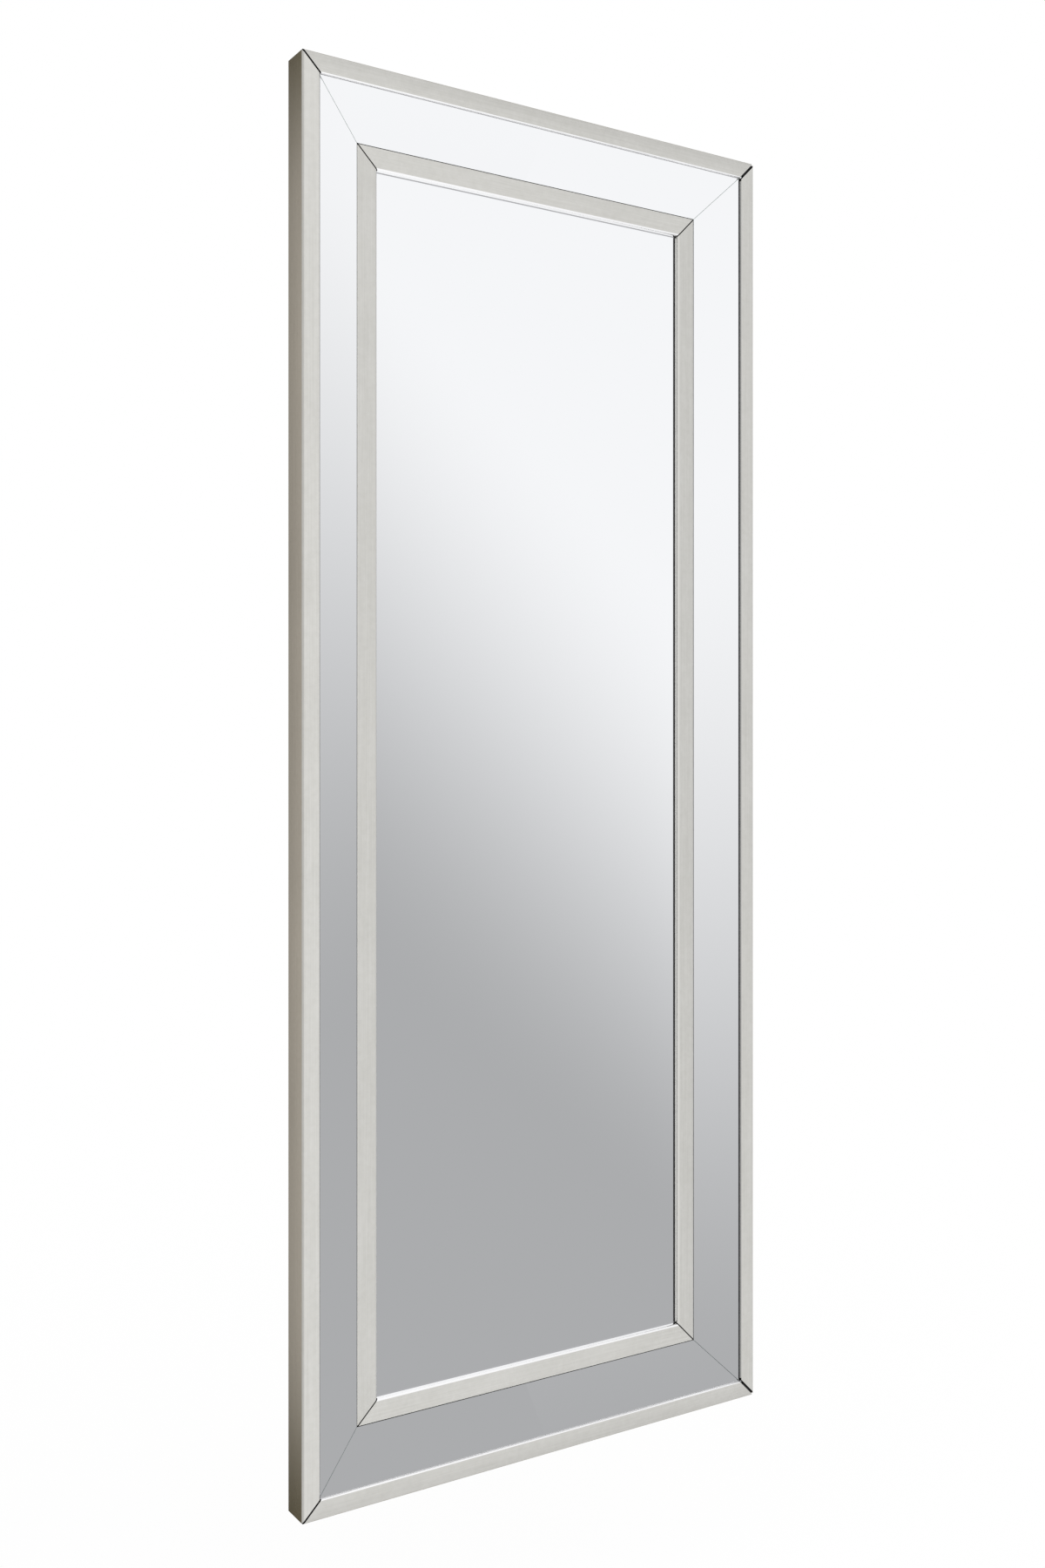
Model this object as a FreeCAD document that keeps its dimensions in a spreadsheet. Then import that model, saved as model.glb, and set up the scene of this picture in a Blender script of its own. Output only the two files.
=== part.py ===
"""Full length wall mirror with a sunken, mirror-faced border.

Four mitred MDF rails carry everything. Each rail has a raised outer edge capped by a brushed
aluminium channel, a sloping seat for a strip of mirror glass, and a low nose capped by a second
channel. A thin rubber bead lies between the outer channel's lip and the strip. The centre mirror
lies against the inner channels, and a screwed back board holds it there.

Frame: +Z up, +X to the right as one faces the mirror, the glass looks along -Y. The origin is on
the wall plane, behind the middle of the mirror. Millimetres.

Sections are drawn in two sizes: the distance inward from the outer edge of the mirror, and the
depth behind the front of the outer channels.
"""
import FreeCAD
import Part
import os
import Sketcher

DRIVING_SIZES = {
    # whole mirror
    "frame_width": 600,
    "frame_height": 1500,
    # visible front, from the outer edge inward
    "outer_face": 20.5,
    "border_span": 53.5,
    "inner_face": 24,
    # depths behind the outer channels' front
    "outer_return": 3.6,
    "inner_recess": 23.7,
    "border_step": 0.4,
    "inner_return": 5.8,
    # aluminium channels
    "trim_wall": 1.2,
    "trim_bend_radius": 1.2,
    "trim_edge_radius": 1.4,
    "outer_lip_radius": 1.5,
    "inner_lip_radius": 2.8,
    "trim_back_return": 9,
    "outer_mitre_gap": 2,
    "inner_mitre_gap": 1.1,
    # glass and what it lies on
    "centre_glass": 4,
    "border_glass": 3,
    "border_mitre_gap": 0.15,
    "glass_arris": 0.25,
    "glass_tuck": 3,
    "glass_lap": 7,
    "edge_clearance": 0.2,
    "bead_height": 0.4,
    "bead_show": 0.4,
    "tape_thickness": 0.8,
    "tape_width": 12,
    "tape_inset": 8,
    "setting_block_height": 1.6,
    "setting_block_length": 30,
    "setting_block_inset": 110,
    # fits
    "fit_gap": 0.2,
    "hole_clearance": 0.2,
    "pilot_clearance": 0.1,
    "screw_tip_room": 0.5,
    # mitre biscuits in the MDF rails
    "biscuit_length": 56,
    "biscuit_width": 20,
    "biscuit_thickness": 4,
    "biscuit_cover": 2.5,
    "biscuit_line": 40,
    # back board
    "board_thickness": 3,
    "board_inset": 42,
    "board_corner_radius": 6,
    "board_screw_line": 55,
    "board_screw_inset": 130,
    # hardware on the back of the rails
    "fixing_line": 22.5,
    "plate_leg": 75,
    "plate_width": 16,
    "plate_thickness": 1.5,
    "plate_corner_radius": 4,
    "plate_first_hole": 22,
    "plate_second_hole": 50,
    "bumper_height": 6.5,
    "bumper_diameter": 16,
    "bumper_face_diameter": 12,
    "bumper_rim_radius": 1.5,
    "bumper_inset": 130,
    "trim_screw_line": 5,
    "trim_screw_inset": 110,
    # hangers
    "hanger_drop": 300,
    "strap_width": 16,
    "strap_length": 46,
    "strap_thickness": 1.4,
    "strap_end_radius": 6.5,
    "strap_first_hole": 8.5,
    "strap_second_hole": 37,
    "ring_wire": 3,
    "ring_width": 27,
    "ring_leg": 6,
    "ring_corner_radius": 4,
    "ring_running_gap": 0.06,
    "ring_rest_gap": 0.3,
    # screws
    "wood_screw_shank": 4,
    "wood_screw_length": 16,
    "wood_screw_head": 7.5,
    "wood_screw_head_height": 2.3,
    "panel_screw_shank": 3,
    "panel_screw_length": 10,
    "panel_screw_head": 5.6,
    "panel_screw_head_height": 1.7,
}

# Worked-out sizes, written as expressions on the driving ones
DEPTH = "(Sizes.inner_recess + Sizes.inner_return + Sizes.centre_glass)"
FRONT_Y = f"(-{DEPTH} - Sizes.bumper_height)"
BACK_Y = "(-Sizes.bumper_height)"
BORDER_END = "(Sizes.outer_face + Sizes.border_span)"
INNER_END = f"({BORDER_END} + Sizes.inner_face)"
TRIM_INSIDE = "(Sizes.trim_wall + Sizes.fit_gap)"
BORDER_DROP = "(Sizes.inner_recess + Sizes.border_step - Sizes.outer_return)"
SLOPE = f"atan({BORDER_DROP} / Sizes.border_span)"
LIP_BACK = "(Sizes.outer_face - Sizes.trim_wall)"
LIP_END = f"(Sizes.outer_return - Sizes.trim_wall * tan({SLOPE}) - Sizes.bead_height)"
STRIP_START = "(Sizes.outer_face - Sizes.glass_tuck)"
STRIP_WIDTH = f"((Sizes.border_span + Sizes.glass_tuck - Sizes.edge_clearance) / cos({SLOPE}))"
STRIP_BED = "(Sizes.border_glass + Sizes.tape_thickness)"
GLASS_EDGE = f"({INNER_END} - Sizes.glass_lap)"
NOSE_END = f"({GLASS_EDGE} - Sizes.setting_block_height)"
RING_HALF = "(Sizes.ring_width / 2)"
RING_AXIS = "(Sizes.strap_thickness + Sizes.ring_rest_gap + Sizes.ring_wire / 2)"

# Shares of a screw head's height at its rim and of its radius at its crown
HEAD_RIM = 0.45
HEAD_CROWN = 0.6

# Screws along a rail, as shares of the reach from its middle to its end screws
LONG_SCREW_PLACES = (-1, -0.5, 0, 0.5, 1)
SHORT_SCREW_PLACES = (-1, 1)

# Rail name, its length, its distance from the middle, and its turn about Y from the top rail
RAILS = (
    ("top", "Sizes.frame_width", "Sizes.frame_height", 0),
    ("right", "Sizes.frame_height", "Sizes.frame_width", 90),
    ("bottom", "Sizes.frame_width", "Sizes.frame_height", 180),
    ("left", "Sizes.frame_height", "Sizes.frame_width", 270),
)
# Corner name, its side in X and Z, and the turn about Y from the top right corner
CORNERS = (
    ("top_right", 1, 1, 0),
    ("bottom_right", 1, -1, 90),
    ("bottom_left", -1, -1, 180),
    ("top_left", -1, 1, 270),
)
SIDES = (("left", -1), ("right", 1))

X_AXIS = FreeCAD.Vector(1, 0, 0)
Y_AXIS = FreeCAD.Vector(0, 1, 0)
Z_AXIS = FreeCAD.Vector(0, 0, 1)
# Turns a shape drawn upright along Z to point back along +Y
TO_THE_BACK = FreeCAD.Rotation(X_AXIS, -90)
# Turns a ring drawn in the XY plane to stand in the XZ plane
UPRIGHT = FreeCAD.Rotation(X_AXIS, 90)

doc = FreeCAD.newDocument("wall_mirror")
sheet = doc.addObject("Spreadsheet::Sheet", "Sizes")
parts = []


def fill_sheet():
    """Write every driving size and its alias into the sheet."""
    for row, (name, value) in enumerate(DRIVING_SIZES.items(), start=1):
        sheet.set(f"A{row}", name)
        sheet.set(f"B{row}", str(value))
        sheet.setAlias(f"B{row}", name)
    doc.recompute()


def number(expression):
    """Value of an expression on the sheet."""
    return float(sheet.evalExpression(expression))


def keep(part, name):
    """Name a finished sub-part and list it for export."""
    part.Label = name
    parts.append(part)
    return part


def place(part, x="0", y="0", z="0", turn=None):
    """Bind a sub-part's place to the sheet and turn it."""
    if turn is not None:
        part.Placement = FreeCAD.Placement(FreeCAD.Vector(), turn)
    part.setExpression("Placement.Base.x", x)
    part.setExpression("Placement.Base.y", y)
    part.setExpression("Placement.Base.z", z)


def new_body(name):
    """Start a body."""
    return doc.addObject("PartDesign::Body", name)


def new_sketch(body, name, role, offset=None):
    """Start a sketch on one of the body's own origin planes, moved along its normal by offset."""
    plane = next(item for item in body.Origin.OriginFeatures if item.Role == role)
    sketch = body.newObject("Sketcher::SketchObject", name)
    sketch.AttachmentSupport = [(plane, "")]
    sketch.MapMode = "FlatFace"
    if offset is not None:
        sketch.setExpression("AttachmentOffset.Base.z", offset)
    return sketch


def pin_point(sketch, geometry, end, x, y):
    """Bind one point of a sketch to two expressions measured from the sketch's origin."""
    for kind, zero_axis, expression in (("DistanceX", -2, x), ("DistanceY", -1, y)):
        value = number(expression)
        if expression == "0":
            sketch.addConstraint(Sketcher.Constraint("PointOnObject", geometry, end, zero_axis))
        elif value < 0:
            index = sketch.addConstraint(Sketcher.Constraint(kind, geometry, end, -1, 1, -value))
            sketch.setExpression(f"Constraints[{index}]", f"-({expression})")
        else:
            index = sketch.addConstraint(Sketcher.Constraint(kind, -1, 1, geometry, end, value))
            sketch.setExpression(f"Constraints[{index}]", expression)


def draw_outline(sketch, points):
    """Draw a closed outline of straight lines whose corners are bound expressions."""
    corners = [FreeCAD.Vector(number(x), number(y), 0) for x, y in points]
    first = sketch.GeometryCount
    count = len(points)
    for step in range(count):
        sketch.addGeometry(Part.LineSegment(corners[step], corners[(step + 1) % count]), False)
    for step in range(count):
        joined = Sketcher.Constraint("Coincident", first + step, 2, first + (step + 1) % count, 1)
        sketch.addConstraint(joined)
    for step, (x, y) in enumerate(points):
        pin_point(sketch, first + step, 1, x, y)


def draw_circle(sketch, x, y, diameter):
    """Draw a circle with a bound centre and diameter."""
    centre = FreeCAD.Vector(number(x), number(y), 0)
    circle = Part.Circle(centre, Z_AXIS, number(diameter) / 2)
    geometry = sketch.addGeometry(circle, False)
    pin_point(sketch, geometry, 3, x, y)
    index = sketch.addConstraint(Sketcher.Constraint("Diameter", geometry, number(diameter)))
    sketch.setExpression(f"Constraints[{index}]", diameter)


def pad(body, sketch, length, symmetric=False, reverse=False):
    """Extrude a sketch."""
    feature = body.newObject("PartDesign::Pad", f"{sketch.Name}_pad")
    feature.Profile = sketch
    feature.SideType = "Symmetric" if symmetric else "One side"
    feature.Reversed = reverse
    feature.setExpression("Length", length)
    sketch.Visibility = False
    doc.recompute()
    return feature


def turn_round(body, sketch):
    """Turn a half section right round the sketch's upright axis."""
    feature = body.newObject("PartDesign::Revolution", f"{sketch.Name}_turned")
    feature.Profile = sketch
    feature.ReferenceAxis = (sketch, ["V_Axis"])
    feature.Angle = 360
    sketch.Visibility = False
    doc.recompute()
    return feature


def cut(body, sketch, length=None, reverse=False):
    """Cut a sketch into the body: a set length, or right through both ways."""
    feature = body.newObject("PartDesign::Pocket", f"{sketch.Name}_cut")
    feature.Profile = sketch
    feature.Reversed = reverse
    if length is None:
        feature.Type = "ThroughAll"
        feature.SideType = "Symmetric"
    else:
        feature.setExpression("Length", length)
    before = feature.BaseFeature.Shape.Volume
    doc.recompute()
    if feature.Shape.Volume >= before:
        raise RuntimeError(f"{feature.Name} cuts nothing")
    return feature


def round_edges(body, name, radius, wanted):
    """Round the edges of the body that the test picks."""
    tip = body.Tip
    names = [f"Edge{i}" for i, edge in enumerate(tip.Shape.Edges, start=1) if wanted(edge)]
    feature = body.newObject("PartDesign::Fillet", name)
    feature.Base = (tip, names)
    feature.setExpression("Radius", radius)
    doc.recompute()
    return feature


def chamfer_edges(body, name, size, wanted):
    """Take the sharp off the edges of the body that the test picks."""
    tip = body.Tip
    names = [f"Edge{i}" for i, edge in enumerate(tip.Shape.Edges, start=1) if wanted(edge)]
    feature = body.newObject("PartDesign::Chamfer", name)
    feature.Base = (tip, names)
    feature.setExpression("Size", size)
    doc.recompute()
    return feature


def runs_along_rail(inward, depth):
    """Test for the edge of a rail section that lies at one inward distance and depth."""
    height = -number(inward)
    behind = number(depth)

    def test(edge):
        box = edge.BoundBox
        level = abs(box.ZMin - height) < 1e-4 and abs(box.ZMax - height) < 1e-4
        return level and abs(box.YMin - behind) < 1e-4 and abs(box.YMax - behind) < 1e-4

    return test


def runs_through(axis):
    """Test for the straight edges that run along one axis, such as through a plate's thickness."""

    def test(edge):
        if edge.Curve.TypeId != "Part::GeomLine":
            return False
        return abs(edge.Curve.Direction.dot(axis)) > 0.999

    return test


def border_surface(inward):
    """Depth of the border mirror's face at an inward distance."""
    return f"(Sizes.outer_return + ({inward} - Sizes.outer_face) * tan({SLOPE}))"


def ends_border_face(edge):
    """Test for the mitred edges at the two ends of a border mirror's face."""
    on_face = all(abs(corner.Y - number(border_surface(f"({-corner.Z})"))) < 1e-4 for corner in edge.Vertexes)
    return on_face and not runs_through(X_AXIS)(edge)


def border_seat(inward):
    """Depth of the MDF seat under the border mirror at an inward distance."""
    return f"({border_surface(inward)} + {STRIP_BED} / cos({SLOPE}))"


def on_slope(along, below):
    """Inward distance and depth of a point given along and below the border mirror's face."""
    inward = f"({STRIP_START} + ({along}) * cos({SLOPE}) - ({below}) * sin({SLOPE}))"
    depth = f"({border_surface(STRIP_START)} + ({along}) * sin({SLOPE}) + ({below}) * cos({SLOPE}))"
    return inward, depth


def rail_section(body, name, points, length):
    """Extrude a section along a rail: depth runs along Y, inward runs down Z."""
    sketch = new_sketch(body, f"{name}_section", "YZ_Plane")
    draw_outline(sketch, [(depth, "0" if inward == "0" else f"-{inward}") for inward, depth in points])
    return pad(body, sketch, length, symmetric=True)


def cut_mitres(body, name, length, reach, gap):
    """Cut both ends of a rail to 45 degrees, half a gap short of the mitre plane."""
    back_off = f"({gap} / sqrt(2))"
    margin = "Sizes.trim_wall"
    sketch = new_sketch(body, f"{name}_mitres", "XZ_Plane")
    for sign in ("", "-"):
        draw_outline(sketch, [
            (f"{sign}({length} / 2 - {back_off} + {margin})", margin),
            (f"{sign}({length} / 2 + 2 * {margin})", margin),
            (f"{sign}({length} / 2 + 2 * {margin})", f"-({reach} + {margin})"),
            (f"{sign}({length} / 2 - {back_off} - {reach} - {margin})", f"-({reach} + {margin})"),
        ])
    return cut(body, sketch)


def drill_rail(body, name, holes, diameter, depth, surface):
    """Drill a rail from its back: holes are places along it and inward distances."""
    sketch = new_sketch(body, name, "XZ_Plane", offset=f"-{surface}")
    for along, inward in holes:
        draw_circle(sketch, along, f"-{inward}", diameter)
    return cut(body, sketch, depth, reverse=True)


def place_rail(part, name, across, turn):
    """Put a rail drawn as the top one in its place round the mirror."""
    outward = f"({across} / 2)"
    x, z = {"top": ("0", outward), "right": (outward, "0"),
            "bottom": ("0", f"-{outward}"), "left": (f"-{outward}", "0")}[name]
    place(part, x, FRONT_Y, z, FreeCAD.Rotation(Y_AXIS, turn))


def spread(places, length, inset):
    """Places along a rail, as shares of the reach from its middle to the end ones."""
    return [f"({share} * ({length} / 2 - {inset}))" if share else "0" for share in places]


def screw_places(name):
    """Shares at which screws are spread along a rail."""
    return LONG_SCREW_PLACES if name in ("left", "right") else SHORT_SCREW_PLACES


def trim_screw_holes(name, length):
    """Where screws fasten a rail's outer channel."""
    return [(along, "Sizes.trim_screw_line")
            for along in spread(screw_places(name), length, "Sizes.trim_screw_inset")]


def board_screw_holes(name, length):
    """Where screws fasten the back board to a rail."""
    return [(along, "Sizes.board_screw_line")
            for along in spread(screw_places(name), length, "Sizes.board_screw_inset")]


def plate_screw_holes(length):
    """Where screws fasten the corner plates to the two ends of a rail."""
    holes = []
    for sign in ("", "-"):
        for hole in ("Sizes.plate_first_hole", "Sizes.plate_second_hole"):
            holes.append((f"{sign}({length} / 2 - Sizes.fixing_line - {hole})", "Sizes.fixing_line"))
    return holes


def hanger_screw_holes(length, sign):
    """Where screws fasten a hanger strap to a side rail."""
    axis = f"({length} / 2 - Sizes.hanger_drop)"
    return [(f"{sign}({axis} - {hole})", "Sizes.fixing_line")
            for hole in ("Sizes.strap_first_hole", "Sizes.strap_second_hole")]


def make_outer_trim(name, length, across, turn):
    """Brushed channel over a rail's outer edge: front face, side, and a return behind the rail."""
    label = f"outer_trim_{name}"
    body = new_body(label)
    rail_section(body, label, [
        ("0", "0"),
        ("Sizes.outer_face", "0"),
        ("Sizes.outer_face", LIP_END),
        (LIP_BACK, LIP_END),
        (LIP_BACK, "Sizes.trim_wall"),
        ("Sizes.trim_wall", "Sizes.trim_wall"),
        ("Sizes.trim_wall", f"({DEPTH} - Sizes.trim_wall)"),
        ("Sizes.trim_back_return", f"({DEPTH} - Sizes.trim_wall)"),
        ("Sizes.trim_back_return", DEPTH),
        ("0", DEPTH),
    ], length)
    round_edges(body, f"{label}_outer_corner", "(Sizes.trim_bend_radius + Sizes.trim_wall)",
                runs_along_rail("0", "0"))
    round_edges(body, f"{label}_lip", "Sizes.outer_lip_radius", runs_along_rail("Sizes.outer_face", "0"))
    round_edges(body, f"{label}_inside_corner", "Sizes.trim_bend_radius",
                runs_along_rail("Sizes.trim_wall", "Sizes.trim_wall"))
    cut_mitres(body, label, length, "Sizes.outer_face", "Sizes.outer_mitre_gap")
    drill_rail(body, f"{label}_screw_holes", trim_screw_holes(name, length),
               "(Sizes.panel_screw_shank + 2 * Sizes.hole_clearance)", TRIM_INSIDE, DEPTH)
    place_rail(body, name, across, turn)
    keep(body, label)


def make_glazing_bead(name, length, across, turn):
    """Thin rubber bead between the outer channel's lip and the border mirror."""
    label = f"glazing_bead_{name}"
    body = new_body(label)
    shown_edge = "(Sizes.outer_face + Sizes.bead_show)"
    rail_section(body, label, [
        (LIP_BACK, LIP_END),
        (shown_edge, LIP_END),
        (shown_edge, border_surface(shown_edge)),
        (LIP_BACK, border_surface(LIP_BACK)),
    ], length)
    cut_mitres(body, label, length, shown_edge, "Sizes.border_mitre_gap")
    place_rail(body, name, across, turn)
    keep(body, label)


def make_inner_trim(name, length, across, turn):
    """Brushed channel over a rail's nose, whose inner leg bears on the centre mirror."""
    label = f"inner_trim_{name}"
    body = new_body(label)
    front = "Sizes.inner_recess"
    inside = "(Sizes.inner_recess + Sizes.trim_wall)"
    outer_leg_end = f"({border_seat(BORDER_END)} - Sizes.fit_gap)"
    inner_leg_end = "(Sizes.inner_recess + Sizes.inner_return)"
    outer_leg_side = f"({BORDER_END} + Sizes.trim_wall)"
    inner_leg_side = f"({INNER_END} - Sizes.trim_wall)"
    rail_section(body, label, [
        (BORDER_END, front),
        (INNER_END, front),
        (INNER_END, inner_leg_end),
        (inner_leg_side, inner_leg_end),
        (inner_leg_side, inside),
        (outer_leg_side, inside),
        (outer_leg_side, outer_leg_end),
        (BORDER_END, outer_leg_end),
    ], length)
    round_edges(body, f"{label}_outer_edge", "Sizes.trim_edge_radius", runs_along_rail(BORDER_END, front))
    round_edges(body, f"{label}_lip", "Sizes.inner_lip_radius", runs_along_rail(INNER_END, front))
    cut_mitres(body, label, length, INNER_END, "Sizes.inner_mitre_gap")
    place_rail(body, name, across, turn)
    keep(body, label)


def make_biscuit(name, clearance):
    """Lens-shaped beech biscuit, or with a clearance the slot for it, standing along Z."""
    half_width = f"(Sizes.biscuit_width / 2 + {clearance})"
    half_length = f"(Sizes.biscuit_length / 2 + {clearance})"
    radius = f"(({half_width}^2 + {half_length}^2) / (2 * {half_width}))"
    sides = []
    for side, sign in SIDES:
        cylinder = doc.addObject("Part::Cylinder", f"{name}_{side}_arc")
        cylinder.setExpression("Radius", radius)
        cylinder.setExpression("Height", f"Sizes.biscuit_thickness + 2 * {clearance}")
        place(cylinder, f"{sign} * ({radius} - {half_width})", f"-{clearance}", "0", TO_THE_BACK)
        sides.append(cylinder)
    lens = doc.addObject("Part::Common", name)
    lens.Base = sides[0]
    lens.Tool = sides[1]
    return lens


def make_frame_rail(name, length, across, turn):
    """MDF rail: raised outer edge, sloping mirror seat, low nose, screw holes and biscuit slots."""
    label = f"frame_rail_{name}"
    blank = new_body(f"{label}_blank")
    edge_wall = on_slope("-Sizes.edge_clearance", STRIP_BED)[0]
    nose_wall = f"({BORDER_END} + {TRIM_INSIDE})"
    nose_top = f"(Sizes.inner_recess + {TRIM_INSIDE})"
    return_room = "(Sizes.trim_back_return + Sizes.fit_gap)"
    rail_section(blank, label, [
        (TRIM_INSIDE, TRIM_INSIDE),
        (edge_wall, TRIM_INSIDE),
        (edge_wall, border_seat(edge_wall)),
        (nose_wall, border_seat(nose_wall)),
        (nose_wall, nose_top),
        (NOSE_END, nose_top),
        (NOSE_END, DEPTH),
        (return_room, DEPTH),
        (return_room, f"({DEPTH} - {TRIM_INSIDE})"),
        (TRIM_INSIDE, f"({DEPTH} - {TRIM_INSIDE})"),
    ], length)
    round_edges(blank, f"{label}_outer_corner", "Sizes.trim_bend_radius",
                runs_along_rail(TRIM_INSIDE, TRIM_INSIDE))
    cut_mitres(blank, label, length, NOSE_END, "0")

    panel_pilot = "(Sizes.panel_screw_shank + 2 * Sizes.pilot_clearance)"
    wood_pilot = "(Sizes.wood_screw_shank + 2 * Sizes.pilot_clearance)"
    drill_rail(blank, f"{label}_trim_pilots", trim_screw_holes(name, length), panel_pilot,
               "(Sizes.panel_screw_length + Sizes.screw_tip_room)", DEPTH)
    drill_rail(blank, f"{label}_board_pilots", board_screw_holes(name, length), panel_pilot,
               "(Sizes.panel_screw_length - Sizes.board_thickness + Sizes.screw_tip_room)", DEPTH)
    drill_rail(blank, f"{label}_plate_pilots", plate_screw_holes(length), wood_pilot,
               "(Sizes.wood_screw_length - Sizes.plate_thickness + Sizes.screw_tip_room)", DEPTH)
    if name in ("left", "right"):
        sign = "" if name == "left" else "-"
        drill_rail(blank, f"{label}_hanger_pilots", hanger_screw_holes(length, sign), wood_pilot,
                   "(Sizes.wood_screw_length - Sizes.strap_thickness + Sizes.screw_tip_room)", DEPTH)

    slots = []
    for side, sign in SIDES:
        slot = make_biscuit(f"{label}_{side}_slot", "Sizes.fit_gap")
        place(slot, f"{sign} * ({length} / 2 - Sizes.biscuit_line)", biscuit_front(),
              "-Sizes.biscuit_line", FreeCAD.Rotation(Y_AXIS, sign * 45))
        slots.append(slot)
    both_slots = doc.addObject("Part::Compound", f"{label}_slots")
    both_slots.Links = slots
    rail = doc.addObject("Part::Cut", label)
    rail.Base = blank
    rail.Tool = both_slots
    place_rail(rail, name, across, turn)
    keep(rail, label)


def biscuit_front():
    """Depth of the biscuits' front faces behind the outer channels' front."""
    return f"({DEPTH} - Sizes.biscuit_cover - Sizes.biscuit_thickness)"


def make_border_mirror(name, length, across, turn):
    """Sloping strip of mirror glass, mitred at both ends and tucked under the outer channel."""
    label = f"border_mirror_{name}"
    body = new_body(label)
    rail_section(body, label, [
        on_slope("0", "0"),
        on_slope(STRIP_WIDTH, "0"),
        on_slope(STRIP_WIDTH, "Sizes.border_glass"),
        on_slope("0", "Sizes.border_glass"),
    ], length)
    cut_mitres(body, label, length, BORDER_END, "Sizes.border_mitre_gap")
    chamfer_edges(body, f"{label}_arris", "Sizes.glass_arris", ends_border_face)
    place_rail(body, name, across, turn)
    keep(body, label)


def make_mirror_tape(name, length, across, turn):
    """Two runs of foam tape that hold a border mirror to its seat."""
    label = f"mirror_tape_{name}"
    run_length = f"({length} - 2 * {BORDER_END})"
    near = "Sizes.tape_inset"
    far = f"({STRIP_WIDTH} - Sizes.tape_inset - Sizes.tape_width)"
    runs = []
    for run, start in (("outer", near), ("inner", far)):
        body = new_body(f"{label}_{run}")
        end = f"({start} + Sizes.tape_width)"
        rail_section(body, f"{label}_{run}", [
            on_slope(start, "Sizes.border_glass"),
            on_slope(end, "Sizes.border_glass"),
            on_slope(end, STRIP_BED),
            on_slope(start, STRIP_BED),
        ], run_length)
        runs.append(body)
    tape = doc.addObject("Part::Compound", label)
    tape.Links = runs
    place_rail(tape, name, across, turn)
    keep(tape, label)


def make_centre_mirror():
    """Flat pane behind the inner channels."""
    pane = doc.addObject("Part::Box", "centre_mirror")
    pane.setExpression("Length", f"Sizes.frame_width - 2 * {GLASS_EDGE}")
    pane.setExpression("Width", "Sizes.centre_glass")
    pane.setExpression("Height", f"Sizes.frame_height - 2 * {GLASS_EDGE}")
    place(pane, f"{GLASS_EDGE} - Sizes.frame_width / 2", f"{BACK_Y} - Sizes.centre_glass",
          f"{GLASS_EDGE} - Sizes.frame_height / 2")
    keep(pane, "centre_mirror")


def make_setting_blocks():
    """Two plastic shims under the centre mirror's lower edge."""
    blocks = []
    for side, sign in SIDES:
        block = doc.addObject("Part::Box", f"setting_block_{side}")
        block.setExpression("Length", "Sizes.setting_block_length")
        block.setExpression("Width", "Sizes.centre_glass")
        block.setExpression("Height", "Sizes.setting_block_height")
        middle = f"{sign} * (Sizes.frame_width / 2 - {GLASS_EDGE} - Sizes.setting_block_inset)"
        place(block, f"{middle} - Sizes.setting_block_length / 2", f"{BACK_Y} - Sizes.centre_glass",
              f"{NOSE_END} - Sizes.frame_height / 2")
        blocks.append(block)
    pair = doc.addObject("Part::Compound", "setting_blocks")
    pair.Links = blocks
    keep(pair, "setting_blocks")


def board_screw_points():
    """Places of the back board's screws across and up the mirror."""
    across = "(Sizes.frame_width / 2 - Sizes.board_screw_line)"
    up = "(Sizes.frame_height / 2 - Sizes.board_screw_line)"
    points = []
    for sign in ("", "-"):
        for along in spread(LONG_SCREW_PLACES, "Sizes.frame_height", "Sizes.board_screw_inset"):
            points.append((f"{sign}{across}", along))
        for along in spread(SHORT_SCREW_PLACES, "Sizes.frame_width", "Sizes.board_screw_inset"):
            points.append((along, f"{sign}{up}"))
    return points


def make_back_board():
    """Hardboard sheet over the rails' backs and the centre mirror, with its screw holes."""
    body = new_body("back_board")
    half_width = "(Sizes.frame_width / 2 - Sizes.board_inset)"
    half_height = "(Sizes.frame_height / 2 - Sizes.board_inset)"
    outline = new_sketch(body, "back_board_outline", "XZ_Plane")
    draw_outline(outline, [
        (f"-{half_width}", f"-{half_height}"),
        (half_width, f"-{half_height}"),
        (half_width, half_height),
        (f"-{half_width}", half_height),
    ])
    pad(body, outline, "Sizes.board_thickness", reverse=True)
    round_edges(body, "back_board_corners", "Sizes.board_corner_radius", runs_through(Y_AXIS))
    holes = new_sketch(body, "back_board_holes", "XZ_Plane")
    for x, z in board_screw_points():
        draw_circle(holes, x, z, "(Sizes.panel_screw_shank + 2 * Sizes.hole_clearance)")
    cut(body, holes)
    place(body, "0", BACK_Y, "0")
    keep(body, "back_board")


def make_mitre_biscuits():
    """One biscuit across each corner joint of the MDF rails."""
    for name, side_x, side_z, _ in CORNERS:
        label = f"mitre_biscuit_{name}"
        biscuit = make_biscuit(label, "0")
        place(biscuit, f"{side_x} * (Sizes.frame_width / 2 - Sizes.biscuit_line)",
              f"{FRONT_Y} + {biscuit_front()}",
              f"{side_z} * (Sizes.frame_height / 2 - Sizes.biscuit_line)",
              FreeCAD.Rotation(Y_AXIS, 45 * side_x * side_z))
        keep(biscuit, label)


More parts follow.
